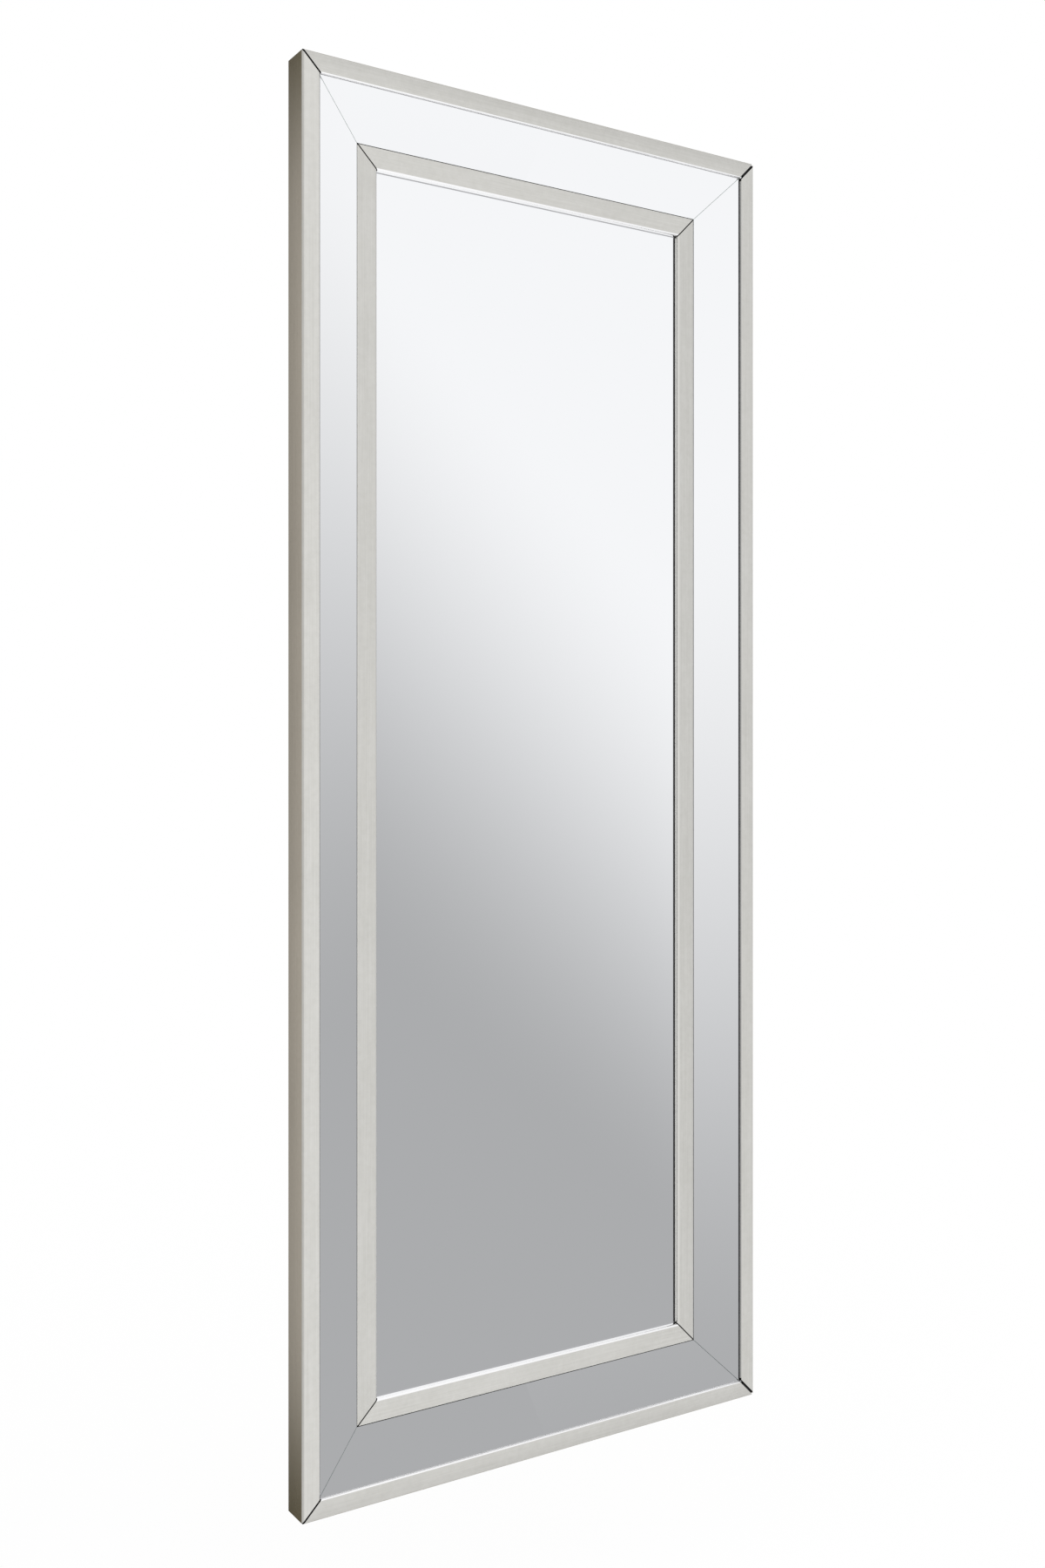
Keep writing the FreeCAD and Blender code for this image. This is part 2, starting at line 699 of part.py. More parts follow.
def make_corner_plates():
    """Flat steel L plate screwed across each corner joint, drawn for the top right corner."""
    half = "(Sizes.plate_width / 2)"
    reach = f"(Sizes.plate_leg - {half})"
    for name, side_x, side_z, turn in CORNERS:
        label = f"corner_plate_{name}"
        body = new_body(label)
        outline = new_sketch(body, f"{label}_outline", "XZ_Plane")
        draw_outline(outline, [
            (half, half),
            (f"-{reach}", half),
            (f"-{reach}", f"-{half}"),
            (f"-{half}", f"-{half}"),
            (f"-{half}", f"-{reach}"),
            (half, f"-{reach}"),
        ])
        pad(body, outline, "Sizes.plate_thickness", reverse=True)
        round_edges(body, f"{label}_corners", "Sizes.plate_corner_radius", runs_through(Y_AXIS))
        holes = new_sketch(body, f"{label}_holes", "XZ_Plane")
        for hole in ("Sizes.plate_first_hole", "Sizes.plate_second_hole"):
            draw_circle(holes, f"-{hole}", "0", "(Sizes.wood_screw_shank + 2 * Sizes.hole_clearance)")
            draw_circle(holes, "0", f"-{hole}", "(Sizes.wood_screw_shank + 2 * Sizes.hole_clearance)")
        cut(body, holes)
        place(body, f"{side_x} * (Sizes.frame_width / 2 - Sizes.fixing_line)", BACK_Y,
              f"{side_z} * (Sizes.frame_height / 2 - Sizes.fixing_line)",
              FreeCAD.Rotation(Y_AXIS, turn))
        keep(body, label)


def make_wall_bumpers():
    """Rubber buttons that hold the mirror clear of the wall, each with a rounded rim."""
    for name, side_x, side_z, _ in CORNERS:
        label = f"wall_bumper_{name}"
        body = new_body(label)
        half = new_sketch(body, f"{label}_half", "XZ_Plane")
        draw_outline(half, [
            ("0", "0"),
            ("(Sizes.bumper_diameter / 2)", "0"),
            ("(Sizes.bumper_face_diameter / 2)", "Sizes.bumper_height"),
            ("0", "Sizes.bumper_height"),
        ])
        turn_round(body, half)
        rim = number("Sizes.bumper_height")
        round_edges(body, f"{label}_rim", "Sizes.bumper_rim_radius",
                    lambda edge: edge.Closed and abs(edge.BoundBox.ZMin - rim) < 1e-4)
        place(body, f"{side_x} * (Sizes.frame_width / 2 - Sizes.fixing_line)", BACK_Y,
              f"{side_z} * (Sizes.frame_height / 2 - Sizes.bumper_inset)", TO_THE_BACK)
        keep(body, label)


def place_on_hanger(part, sign, behind):
    """Put a hanger piece, drawn about its ring's axis, on its side rail."""
    place(part, f"{sign} * (Sizes.frame_width / 2 - Sizes.fixing_line)", f"{BACK_Y} + {behind}",
          "Sizes.frame_height / 2 - Sizes.hanger_drop")


def make_hanger_straps():
    """Steel straps screwed to the side rails, each curled round its ring at the top."""
    half = "(Sizes.strap_width / 2)"
    eye = "(Sizes.ring_wire + 2 * Sizes.ring_running_gap + 2 * Sizes.strap_thickness)"
    for side, sign in SIDES:
        label = f"hanger_strap_{side}"
        body = new_body(label)
        outline = new_sketch(body, f"{label}_outline", "XZ_Plane")
        draw_outline(outline, [
            (f"-{half}", "0"),
            (f"-{half}", "-Sizes.strap_length"),
            (half, "-Sizes.strap_length"),
            (half, "0"),
        ])
        pad(body, outline, "Sizes.strap_thickness", reverse=True)
        lower_end = -number("Sizes.strap_length")
        through = runs_through(Y_AXIS)
        round_edges(body, f"{label}_end", "Sizes.strap_end_radius",
                    lambda edge: through(edge) and abs(edge.BoundBox.ZMin - lower_end) < 1e-4)
        curl = new_sketch(body, f"{label}_curl", "YZ_Plane")
        draw_circle(curl, RING_AXIS, "0", eye)
        pad(body, curl, "Sizes.strap_width", symmetric=True)
        bore = new_sketch(body, f"{label}_bore", "YZ_Plane")
        draw_circle(bore, RING_AXIS, "0", "(Sizes.ring_wire + 2 * Sizes.ring_running_gap)")
        cut(body, bore)
        holes = new_sketch(body, f"{label}_holes", "XZ_Plane")
        for hole in ("Sizes.strap_first_hole", "Sizes.strap_second_hole"):
            draw_circle(holes, "0", f"-{hole}", "(Sizes.wood_screw_shank + 2 * Sizes.hole_clearance)")
        cut(body, holes)
        place_on_hanger(body, sign, "0")
        keep(body, label)


def ring_bend(name, radius, sweep, start, x, z):
    """Bent stretch of ring wire about a point, from a start angle in the XZ plane."""
    bend = doc.addObject("Part::Torus", name)
    bend.setExpression("Radius1", radius)
    bend.setExpression("Radius2", "Sizes.ring_wire / 2")
    bend.Angle3 = sweep
    place(bend, x, "0", z, UPRIGHT.multiply(FreeCAD.Rotation(Z_AXIS, start)))
    return bend


def ring_run(name, length, x, z, turn=None):
    """Straight stretch of ring wire, drawn up Z before its turn."""
    run = doc.addObject("Part::Cylinder", name)
    run.setExpression("Radius", "Sizes.ring_wire / 2")
    run.setExpression("Height", length)
    place(run, x, "0", z, turn)
    return run


def make_hanger_rings():
    """D rings that hang from their straps, each bar in the strap's curl and the bow below."""
    straight = f"({RING_HALF} - Sizes.ring_corner_radius)"
    bow_level = "(Sizes.ring_corner_radius + Sizes.ring_leg)"
    for side, sign in SIDES:
        label = f"hanger_ring_{side}"
        ring = doc.addObject("Part::MultiFuse", label)
        ring.Shapes = [
            ring_run(f"{label}_bar", f"2 * {straight}", f"-{straight}", "0",
                     FreeCAD.Rotation(Y_AXIS, 90)),
            ring_bend(f"{label}_right_corner", "Sizes.ring_corner_radius", 90, 0,
                      straight, "-Sizes.ring_corner_radius"),
            ring_bend(f"{label}_left_corner", "Sizes.ring_corner_radius", 90, 90,
                      f"-{straight}", "-Sizes.ring_corner_radius"),
            ring_run(f"{label}_right_leg", "Sizes.ring_leg", RING_HALF, f"-{bow_level}"),
            ring_run(f"{label}_left_leg", "Sizes.ring_leg", f"-{RING_HALF}", f"-{bow_level}"),
            ring_bend(f"{label}_bow", RING_HALF, 180, 180, "0", f"-{bow_level}"),
        ]
        place_on_hanger(ring, sign, RING_AXIS)
        keep(ring, label)


def make_screw(kind):
    """Pan head screw drawn point down along Z, with its head's underside at the origin."""
    size = f"Sizes.{kind}_screw"
    body = new_body(f"{kind}_screw")
    head = f"({size}_head / 2)"
    shank = f"({size}_shank / 2)"
    half = new_sketch(body, f"{kind}_screw_half", "XZ_Plane")
    draw_outline(half, [
        ("0", f"{size}_head_height"),
        ("0", f"-{size}_length"),
        (shank, f"-({size}_length - {size}_shank)"),
        (shank, "0"),
        (head, "0"),
        (head, f"({HEAD_RIM} * {size}_head_height)"),
        (f"({HEAD_CROWN} * {head})", f"{size}_head_height"),
    ])
    turn_round(body, half)
    return body


def make_screw_group(label, screw, points, surface):
    """Equal screws as one group: points are places across and up, surface is where heads bear."""
    solids = []
    for x, z in points:
        shape = screw.Shape.copy()
        spot = FreeCAD.Placement(FreeCAD.Vector(number(x), number(surface), number(z)), TO_THE_BACK)
        shape.Placement = spot.multiply(shape.Placement)
        solids.append(shape)
    group = doc.addObject("Part::Feature", label)
    group.Shape = Part.makeCompound(solids)
    keep(group, label)


def make_screws():
    """All screws, grouped by what they fasten."""
    panel_screw = make_screw("panel")
    wood_screw = make_screw("wood")
    side = "(Sizes.frame_width / 2 - Sizes.fixing_line)"
    level = "(Sizes.frame_height / 2 - Sizes.fixing_line)"

    plate_points = []
    for _, side_x, side_z, _ in CORNERS:
        for hole in ("Sizes.plate_first_hole", "Sizes.plate_second_hole"):
            plate_points.append((f"{side_x} * ({side} - {hole})", f"{side_z} * {level}"))
            plate_points.append((f"{side_x} * {side}", f"{side_z} * ({level} - {hole})"))
    make_screw_group("corner_plate_screws", wood_screw, plate_points,
                     f"{BACK_Y} + Sizes.plate_thickness")

    hanger_points = []
    for _, sign in SIDES:
        for hole in ("Sizes.strap_first_hole", "Sizes.strap_second_hole"):
            hanger_points.append((f"{sign} * {side}",
                                  f"Sizes.frame_height / 2 - Sizes.hanger_drop - {hole}"))
    make_screw_group("hanger_screws", wood_screw, hanger_points, f"{BACK_Y} + Sizes.strap_thickness")

    make_screw_group("back_board_screws", panel_screw, board_screw_points(),
                     f"{BACK_Y} + Sizes.board_thickness")

    edge = "(Sizes.frame_width / 2 - Sizes.trim_screw_line)"
    top = "(Sizes.frame_height / 2 - Sizes.trim_screw_line)"
    trim_points = []
    for sign in ("", "-"):
        for along in spread(LONG_SCREW_PLACES, "Sizes.frame_height", "Sizes.trim_screw_inset"):
            trim_points.append((f"{sign}{edge}", along))
        for along in spread(SHORT_SCREW_PLACES, "Sizes.frame_width", "Sizes.trim_screw_inset"):
            trim_points.append((along, f"{sign}{top}"))
    make_screw_group("trim_screws", panel_screw, trim_points, BACK_Y)


def check_document():
    """Stop if any object failed or any sub-part has no sound solid."""
    for item in doc.Objects:
        if "Invalid" in item.State or "Error" in item.State:
            raise RuntimeError(f"{item.Label} failed: {item.State}")
    for part in parts:
        if part.Shape.isNull() or not part.Shape.isValid() or not part.Shape.Solids:
            raise RuntimeError(f"{part.Label} has no sound solid")


def main():
    """Build every sub-part, check it and write it."""
    fill_sheet()
    for rail in RAILS:
        make_frame_rail(*rail)
        make_outer_trim(*rail)
        make_glazing_bead(*rail)
        make_inner_trim(*rail)
        make_border_mirror(*rail)
        make_mirror_tape(*rail)
    make_centre_mirror()
    make_setting_blocks()
    make_back_board()
    make_mitre_biscuits()
    make_corner_plates()
    make_wall_bumpers()
    make_hanger_straps()
    make_hanger_rings()
    make_screws()
    doc.recompute()
    check_document()
    os.makedirs("parts", exist_ok=True)
    for part in parts:
        part.Shape.exportStep(f"parts/{part.Label}.step")
    print(f"{len(parts)} sub-parts written")


main()
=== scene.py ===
"""Full length wall mirror: brushed metal trims round a sloping mirror border and a sunk centre mirror.

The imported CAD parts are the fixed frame. This script sets the camera and the studio, dresses every part
with its finish, and models the cross recessed screws that close the back.
"""
import logging
import math
from collections.abc import Callable
from dataclasses import dataclass
from enum import Enum

import bpy
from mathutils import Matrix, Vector


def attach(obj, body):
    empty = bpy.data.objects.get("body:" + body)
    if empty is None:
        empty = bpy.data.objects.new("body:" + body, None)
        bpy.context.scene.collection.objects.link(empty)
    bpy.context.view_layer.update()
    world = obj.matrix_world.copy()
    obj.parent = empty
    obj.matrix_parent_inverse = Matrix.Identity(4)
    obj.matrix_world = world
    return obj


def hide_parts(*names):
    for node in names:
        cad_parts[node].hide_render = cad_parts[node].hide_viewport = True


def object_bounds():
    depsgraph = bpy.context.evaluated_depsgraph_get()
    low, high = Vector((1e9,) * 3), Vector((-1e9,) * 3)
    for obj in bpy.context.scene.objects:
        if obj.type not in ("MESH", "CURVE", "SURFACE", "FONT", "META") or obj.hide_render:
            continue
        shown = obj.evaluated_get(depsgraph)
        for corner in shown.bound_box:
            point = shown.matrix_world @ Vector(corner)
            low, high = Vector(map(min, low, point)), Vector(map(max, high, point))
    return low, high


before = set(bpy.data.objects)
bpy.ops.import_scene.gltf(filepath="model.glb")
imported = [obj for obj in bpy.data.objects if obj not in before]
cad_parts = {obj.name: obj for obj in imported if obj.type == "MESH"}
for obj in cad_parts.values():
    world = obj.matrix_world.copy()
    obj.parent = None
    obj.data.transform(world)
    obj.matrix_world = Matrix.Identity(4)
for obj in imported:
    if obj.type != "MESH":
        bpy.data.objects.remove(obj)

CAD_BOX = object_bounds()
MILLIMETRE = 0.001

Colour = tuple[float, float, float]
Place = tuple[float, float, float]
Span = tuple[float, float]
Socket = bpy.types.NodeSocket
Input = Socket | float | Colour

log = logging.getLogger("wall_mirror")


class Side(Enum):
    """The four sides of the mirror, as the CAD parts name them."""

    TOP = "top"
    BOTTOM = "bottom"
    LEFT = "left"
    RIGHT = "right"


class Corner(Enum):
    """The four corners of the mirror, as the CAD parts name them."""

    TOP_LEFT = "top_left"
    TOP_RIGHT = "top_right"
    BOTTOM_LEFT = "bottom_left"
    BOTTOM_RIGHT = "bottom_right"


class Grain(Enum):
    """Which way a rail and its brush lines run, as stretches along X, Y and Z."""

    LEVEL = (0.012, 1.0, 1.0)
    UPRIGHT = (1.0, 1.0, 0.012)

    @property
    def across(self) -> str:
        """Name of the axis that leads from the rail to the middle of the mirror."""
        return "Z" if self is Grain.LEVEL else "X"

    @property
    def along(self) -> str:
        """Name of the axis that the rail runs along."""
        return "X" if self is Grain.LEVEL else "Z"


def half_size(axis: str) -> float:
    """Return how far the mirror reaches from its middle along an axis, in metres."""
    return CAD_BOX[1]["XYZ".index(axis)]


def shown(red: int, green: int, blue: int) -> Colour:
    """Turn a colour as it is shown on a screen into the shader's linear values.

    Args:
        red: Red from 0 to 255.
        green: Green from 0 to 255.
        blue: Blue from 0 to 255.

    Returns:
        The same colour as linear red, green and blue.
    """
    linear = []
    for level in (red, green, blue):
        share = level / 255
        linear.append(share / 12.92 if share <= 0.04045 else ((share + 0.055) / 1.055) ** 2.4)
    return tuple(linear)


def scaled(colour: Colour, factor: float) -> Colour:
    """Return a linear colour made brighter or darker by a factor."""
    return tuple(channel * factor for channel in colour)


class ShaderSheet:
    """The node tree of a material or world, with short ways to add and join nodes.

    Every value that a method takes is another node's output or a fixed number or colour.
    """

    def __init__(self, owner: bpy.types.Material | bpy.types.World) -> None:
        """Start an empty tree on its owner.

        Args:
            owner: The material or world that gets the nodes.
        """
        owner.use_nodes = True
        self.tree = owner.node_tree
        self.tree.nodes.clear()

    def feed(self, entry: Socket, value: Input) -> None:
        """Join an output to an input, or fix the input at a number or colour.

        Args:
            entry: The input.
            value: What it takes.
        """
        if isinstance(value, Socket):
            self.tree.links.new(value, entry)
        else:
            entry.default_value = (*value, 1.0) if entry.type == "RGBA" else value

    def add(self, kind: str, values: dict[str | int, Input] | None = None,
            **settings: str) -> bpy.types.Node:
        """Add one node.

        Args:
            kind: Blender's name of the node type.
            values: What its inputs take, by input name or number.
            settings: Properties of the node itself.

        Returns:
            The new node.
        """
        node = self.tree.nodes.new(kind)
        for key, setting in settings.items():
            setattr(node, key, setting)
        for key, value in (values or {}).items():
            self.feed(node.inputs[key], value)
        return node

    def maths(self, operation: str, *values: Input) -> Socket:
        """Work out one value with a Math node."""
        return self.add("ShaderNodeMath", dict(enumerate(values)), operation=operation).outputs[0]

    def chain(self, operation: str, first: Input, *others: Input) -> Socket:
        """Join several values by one operation, such as ADD, MULTIPLY or MAXIMUM.

        Args:
            operation: The Math node's operation.
            first: The first value.
            others: The values that follow.

        Returns:
            The result.
        """
        total = first
        for value in others:
            total = self.maths(operation, total, value)
        return total

    def axes(self, vector: Socket) -> dict[str, Socket]:
        """Return the X, Y and Z of a vector by name."""
        return {part.name: part for part in self.add("ShaderNodeSeparateXYZ", {"Vector": vector}).outputs}

    def place(self, scale: Place = (1.0, 1.0, 1.0)) -> Socket:
        """Return Object coordinates, stretched by a Mapping node."""
        spot = self.add("ShaderNodeTexCoord").outputs["Object"]
        return self.add("ShaderNodeMapping", {"Vector": spot, "Scale": scale}).outputs["Vector"]

    def normal(self, kind: str = "True Normal") -> Socket:
        """Return which way the surface looks."""
        return self.add("ShaderNodeNewGeometry").outputs[kind]

    def noise(self, where: Socket, scale: float, detail: float, roughness: float = 0.5) -> Socket:
        """Return a noise texture's value on given coordinates, scaled in repeats per metre."""
        values = {"Vector": where, "Scale": scale, "Detail": detail, "Roughness": roughness}
        return self.add("ShaderNodeTexNoise", values).outputs["Fac"]

    def spread(self, value: Socket, low: float, high: float, span: Span = (0.3, 0.7),
               curve: str = "LINEAR") -> Socket:
        """Map a value from a span, by default a noise texture's, to the range from low to high."""
        values = {"Value": value, "From Min": span[0], "From Max": span[1], "To Min": low, "To Max": high}
        return self.add("ShaderNodeMapRange", values, interpolation_type=curve).outputs["Result"]

    def mix(self, factor: Input, first: Input, second: Input, how: str = "MIX") -> Socket:
        """Mix two colours.

        Args:
            factor: The share of the second colour.
            first: Colour where the factor is 0.
            second: Colour where the factor is 1.
            how: How the second colour goes over the first, MIX or MULTIPLY.

        Returns:
            The mixed colour.
        """
        node = self.add("ShaderNodeMix", {0: factor}, data_type="RGBA", blend_type=how)
        entries = [entry for entry in node.inputs if entry.type == "RGBA"]
        for entry, colour in zip(entries, (first, second)):
            self.feed(entry, colour)
        return next(out for out in node.outputs if out.type == "RGBA")

    def mix_value(self, factor: Input, first: Input, second: Input) -> Socket:
        """Mix two numbers, the second where the factor is 1."""
        return self.add("ShaderNodeMix", {0: factor, 2: first, 3: second}, data_type="FLOAT").outputs[0]

    def relief(self, height: Socket, strength: float, depth: float) -> Socket:
        """Return a normal that a texture value raises and sinks, by a depth in metres."""
        values = {"Strength": strength, "Distance": depth, "Height": height}
        return self.add("ShaderNodeBump", values).outputs["Normal"]

    def surface(self, values: dict[str, Input]) -> None:
        """Finish a material with the Principled shader, whose inputs take the given values."""
        shader = self.add("ShaderNodeBsdfPrincipled", values)
        self.add("ShaderNodeOutputMaterial", {"Surface": shader.outputs["BSDF"]})

    def glowing(self, factor: Socket, under: Socket, colour: Input, strength: float) -> None:
        """Finish a material with a glow over another shader.

        Args:
            factor: The share of the glow.
            under: The other shader.
            colour: Colour of the glow.
            strength: Strength of the glow.
        """
        glow = self.add("ShaderNodeEmission", {"Color": colour, "Strength": strength}).outputs["Emission"]
        both = self.add("ShaderNodeMixShader", {0: factor, 1: under, 2: glow}).outputs["Shader"]
        self.add("ShaderNodeOutputMaterial", {"Surface": both})


@dataclass(frozen=True)
class BrushedMetal:
    """Satin brushed champagne metal with fine lines along its rail and a smooth inner lip.

    Lengths are in metres, and a painted lip end or mitre shadow of 0 leaves it out. Shades are shares of
    the brightness that painted shade leaves. Turns run from -1 on the lip's return, over 0 on the face, to
    1 on the outer side.
    """

    name: str
    grain: Grain
    lip: Colour
    pale: Colour = shown(219, 218, 214)
    deep: Colour = shown(205, 204, 199)
    # The dark sawn colour is painted shade for the mitre gaps.
    sawn: Colour = shown(58, 57, 55)
    sawn_shade: float = 0.7
    sawn_slant: float = 0.45
    lip_gloss: float = 0.1
    side_gloss: float = 0.2
    face_gloss: Span = (0.30, 0.42)
    lip_turn: Span = (-0.28, -0.14)
    side_turn: Span = (0.8, 0.98)
    rim_shade: float = 1.0
    rim_depth: float = 0.019
    rear_shade: float = 1.0
    rear_span: Span = (-0.035, -0.008)
    corner_shade: float = 1.0
    corner_start: Span = (0.02, 0.25)
    corner_end: Span = (0.85, 0.98)
    lip_end_painted_shadow: float = 0.0
    mitre_painted_shadow: float = 0.0
    line_scale: float = 2600.0
    streak_scale: float = 620.0
    mottle_scale: float = 160.0
    cloud_scale: float = 14.0
    pattern_span: Span = (0.15, 0.85)
    relief_strength: float = 0.1
    relief_depth: float = 0.04 * MILLIMETRE

    def outward_turn(self, sheet: ShaderSheet) -> Socket:
        """Measure how far the surface turns away from the middle of the mirror.

        Args:
            sheet: The material's nodes.

        Returns:
            The turn, from -1 to 1.
        """
        looks = sheet.axes(sheet.normal("Normal"))
        lies = sheet.axes(sheet.place())
        side = sheet.maths("SIGN", lies[self.grain.across])
        return sheet.maths("MULTIPLY", looks[self.grain.across], side)

    def gloss(self, sheet: ShaderSheet, lines: Socket, outward: Socket, lip: Socket) -> Socket:
        """Make the roughness: satin on the face, smoother on the side, polished on the lip.

        Args:
            sheet: The material's nodes.
            lines: The brush lines.
            outward: How far the surface turns outward.
            lip: 1 on the lip.

        Returns:
            The roughness.
        """
        side = sheet.spread(outward, 0.0, 1.0, self.side_turn)
        satin = sheet.mix_value(side, sheet.spread(lines, *self.face_gloss), self.side_gloss)
        return sheet.mix_value(lip, satin, self.lip_gloss)

    def add_painted_shade(self, sheet: ShaderSheet, brushed: Socket, outward: Socket) -> Socket:
        """Darken the metal with painted shade towards its outer rim, on its rounded corner and towards the
        rear of its side.

        Args:
            sheet: The material's nodes.
            brushed: The brushed colour.
            outward: How far the surface turns outward.

        Returns:
            The colour with painted shade.
        """
        lies = sheet.axes(sheet.place())
        far = sheet.maths("ABSOLUTE", lies[self.grain.across])
        rim = half_size(self.grain.across)
        # Painted shade: the rim, rear and corner factors darken the brushed colour.
        shade = sheet.chain("MULTIPLY",
                            sheet.spread(far, 1.0, self.rim_shade, (rim - self.rim_depth, rim)),
                            sheet.spread(lies["Y"], 1.0, self.rear_shade, self.rear_span),
                            sheet.spread(outward, 1.0, self.corner_shade, self.corner_start),
                            sheet.spread(outward, 1.0, 1.0 / self.corner_shade, self.corner_end))
        return sheet.mix(1.0, brushed, shade, "MULTIPLY")

    def mitred(self, sheet: ShaderSheet, share: Socket, shade: Socket, lip: Socket) -> Socket:
        """Paint shade on the sawn ends in the mitres, on a band beside each mitre and on the lip's ends
        near them.

        Args:
            sheet: The material's nodes.
            share: The brush pattern, which also breaks up the sawn ends.
            shade: The colour of the other faces.
            lip: 1 on the lip.

        Returns:
            The colour of all faces.
        """
        # Painted shade: faces that slant into the mitres take the dark sawn colour.
        looks = sheet.axes(sheet.normal())
        slant = sheet.maths("ABSOLUTE", sheet.maths("MULTIPLY", looks["X"], looks["Z"]))
        end = sheet.maths("GREATER_THAN", slant, self.sawn_slant)
        lies = sheet.axes(sheet.place())
        along = sheet.maths("ABSOLUTE", lies[self.grain.along])
        across = sheet.maths("ABSOLUTE", lies[self.grain.across])
        # Painted shadow: the lip darkens over its last stretch before each mitre.
        past = sheet.maths("GREATER_THAN", along, half_size(self.grain.along) - self.lip_end_painted_shadow)
        lip_end_shadow = sheet.maths("MULTIPLY", past, lip)
        # Painted shadow: a band of the faces beside each mitre darkens.
        mitre = half_size(self.grain.across) - half_size(self.grain.along)
        mitre_shadow = sheet.maths("LESS_THAN", sheet.maths("SUBTRACT", across, along), mitre + self.mitre_painted_shadow)
        cut = sheet.mix(share, scaled(self.sawn, self.sawn_shade), self.sawn)
        return sheet.mix(sheet.chain("MAXIMUM", end, lip_end_shadow, mitre_shadow), shade, cut)

    def material(self) -> bpy.types.Material:
        """Build the finish: brush lines, mottle, broad clouds, roughness, a shallow relief and the lip.

        Returns:
            The new material.
        """
        material = bpy.data.materials.new(self.name)
        sheet = ShaderSheet(material)
        brush = sheet.place(self.grain.value)
        plain = sheet.place()
        lines = sheet.noise(brush, self.line_scale, detail=4.0, roughness=0.7)
        streaks = sheet.noise(brush, self.streak_scale, detail=2.0)
        mottle = sheet.noise(plain, self.mottle_scale, detail=3.0, roughness=0.6)
        clouds = sheet.noise(plain, self.cloud_scale, detail=2.0)
        weights = ((lines, 0.3), (streaks, 0.3), (mottle, 0.25), (clouds, 0.15))
        total = sheet.chain("ADD", *(sheet.spread(layer, 0.0, weight) for layer, weight in weights))
        share = sheet.spread(total, 0.0, 1.0, self.pattern_span)
        outward = self.outward_turn(sheet)
        lip = sheet.spread(outward, 1.0, 0.0, self.lip_turn)
        brushed = self.add_painted_shade(sheet, sheet.mix(share, self.deep, self.pale), outward)
        sheet.surface({
            "Base Color": self.mitred(sheet, share, sheet.mix(lip, brushed, self.lip), lip),
            "Metallic": 1.0,
            "Roughness": self.gloss(sheet, lines, outward, lip),
            "Normal": sheet.relief(lines, self.relief_strength, self.relief_depth),
        })
        return material


@dataclass(frozen=True)
class SilveredGlass:
    """Silvered float glass: a clear mirror on its face, with ground greenish edges that painted shade
    darkens lower down.
    """

    name: str
    facing: Vector
    silver: Colour = (0.955, 0.960, 0.965)
    edge: Colour = shown(210, 219, 216)
    shaded_low_edge: Colour = shown(150, 159, 158)
    edge_span: Span = (-0.3, 0.4)
    edge_gloss: float = 0.22
    face_turn: float = 0.995

    def material(self) -> bpy.types.Material:
        """Build the finish: faces that look the pane's way are silver, all others are ground glass.

        Returns:
            The new material.
        """
        material = bpy.data.materials.new(self.name)
        sheet = ShaderSheet(material)
        looks = {0: sheet.normal(), 1: self.facing}
        turned = sheet.add("ShaderNodeVectorMath", looks, operation="DOT_PRODUCT").outputs["Value"]
        face = sheet.maths("GREATER_THAN", turned, self.face_turn)
        # Painted shade: the ground edges darken towards the bottom.
        height = sheet.spread(sheet.axes(sheet.place())["Z"], 0.0, 1.0, self.edge_span)
        ground = sheet.mix(height, self.shaded_low_edge, self.edge)
        sheet.surface({
            "Base Color": sheet.mix(face, ground, self.silver),
            "Metallic": face,
            "Roughness": sheet.spread(face, self.edge_gloss, 0.0, (0.0, 1.0)),
        })
        return material


@dataclass(frozen=True)
class PressedBoard:
    """Pressed wood fibre: specks on a plain brown, bare or with a black sealer coat on the front that also
    paints gap shade.
    """

    name: str
    pale: Colour
    deep: Colour
    fleck_scale: float
    gloss: Span = (0.62, 0.82)
    seal_and_gap_shade: Colour | None = None
    seal_speck: float = 1.4
    fleck_share: float = 0.5
    cloud_size: float = 60.0
    cloud_lift: Span = (0.2, 0.3)
    pattern_span: Span = (0.32, 0.68)
    relief_strength: float = 0.25
    relief_depth: float = 0.2 * MILLIMETRE

    def material(self) -> bpy.types.Material:
        """Build the finish: fine fibres, soft clouds, uneven gloss, a shallow relief and any sealer coat
        with its painted gap shade.

        Returns:
            The new material.
        """
        material = bpy.data.materials.new(self.name)
        sheet = ShaderSheet(material)
        where = sheet.place()
        flecks = sheet.noise(where, self.fleck_scale, detail=6.0, roughness=0.68)
        clouds = sheet.noise(where, self.fleck_scale / self.cloud_size, detail=3.0)
        lift = sheet.spread(clouds, *self.cloud_lift)
        total = sheet.maths("MULTIPLY_ADD", flecks, self.fleck_share, lift)
        share = sheet.spread(total, 0.0, 1.0, self.pattern_span)
        shade = sheet.mix(share, self.deep, self.pale)
        sheet.surface({
            "Base Color": shade if self.seal_and_gap_shade is None else self.sealed_and_gap_shaded(sheet, share, shade),
            "Roughness": sheet.spread(flecks, *self.gloss),
            "Normal": sheet.relief(flecks, self.relief_strength, self.relief_depth),
        })
        return material

    def sealed_and_gap_shaded(self, sheet: ShaderSheet, share: Socket, bare: Socket) -> Socket:
        """Paint every face but the back with the black sealer coat, which also paints the shade in the
        gaps.

        Args:
            sheet: The material's nodes.
            share: The speckle that also breaks up the sealer coat.
            bare: The bare board's colour.

        Returns:
            The colour of all faces.
        """
        back = sheet.maths("GREATER_THAN", sheet.axes(sheet.normal())["Y"], 0.5)
        paint = sheet.mix(share, self.seal_and_gap_shade, scaled(self.seal_and_gap_shade, self.seal_speck))
        return sheet.mix(back, paint, bare)


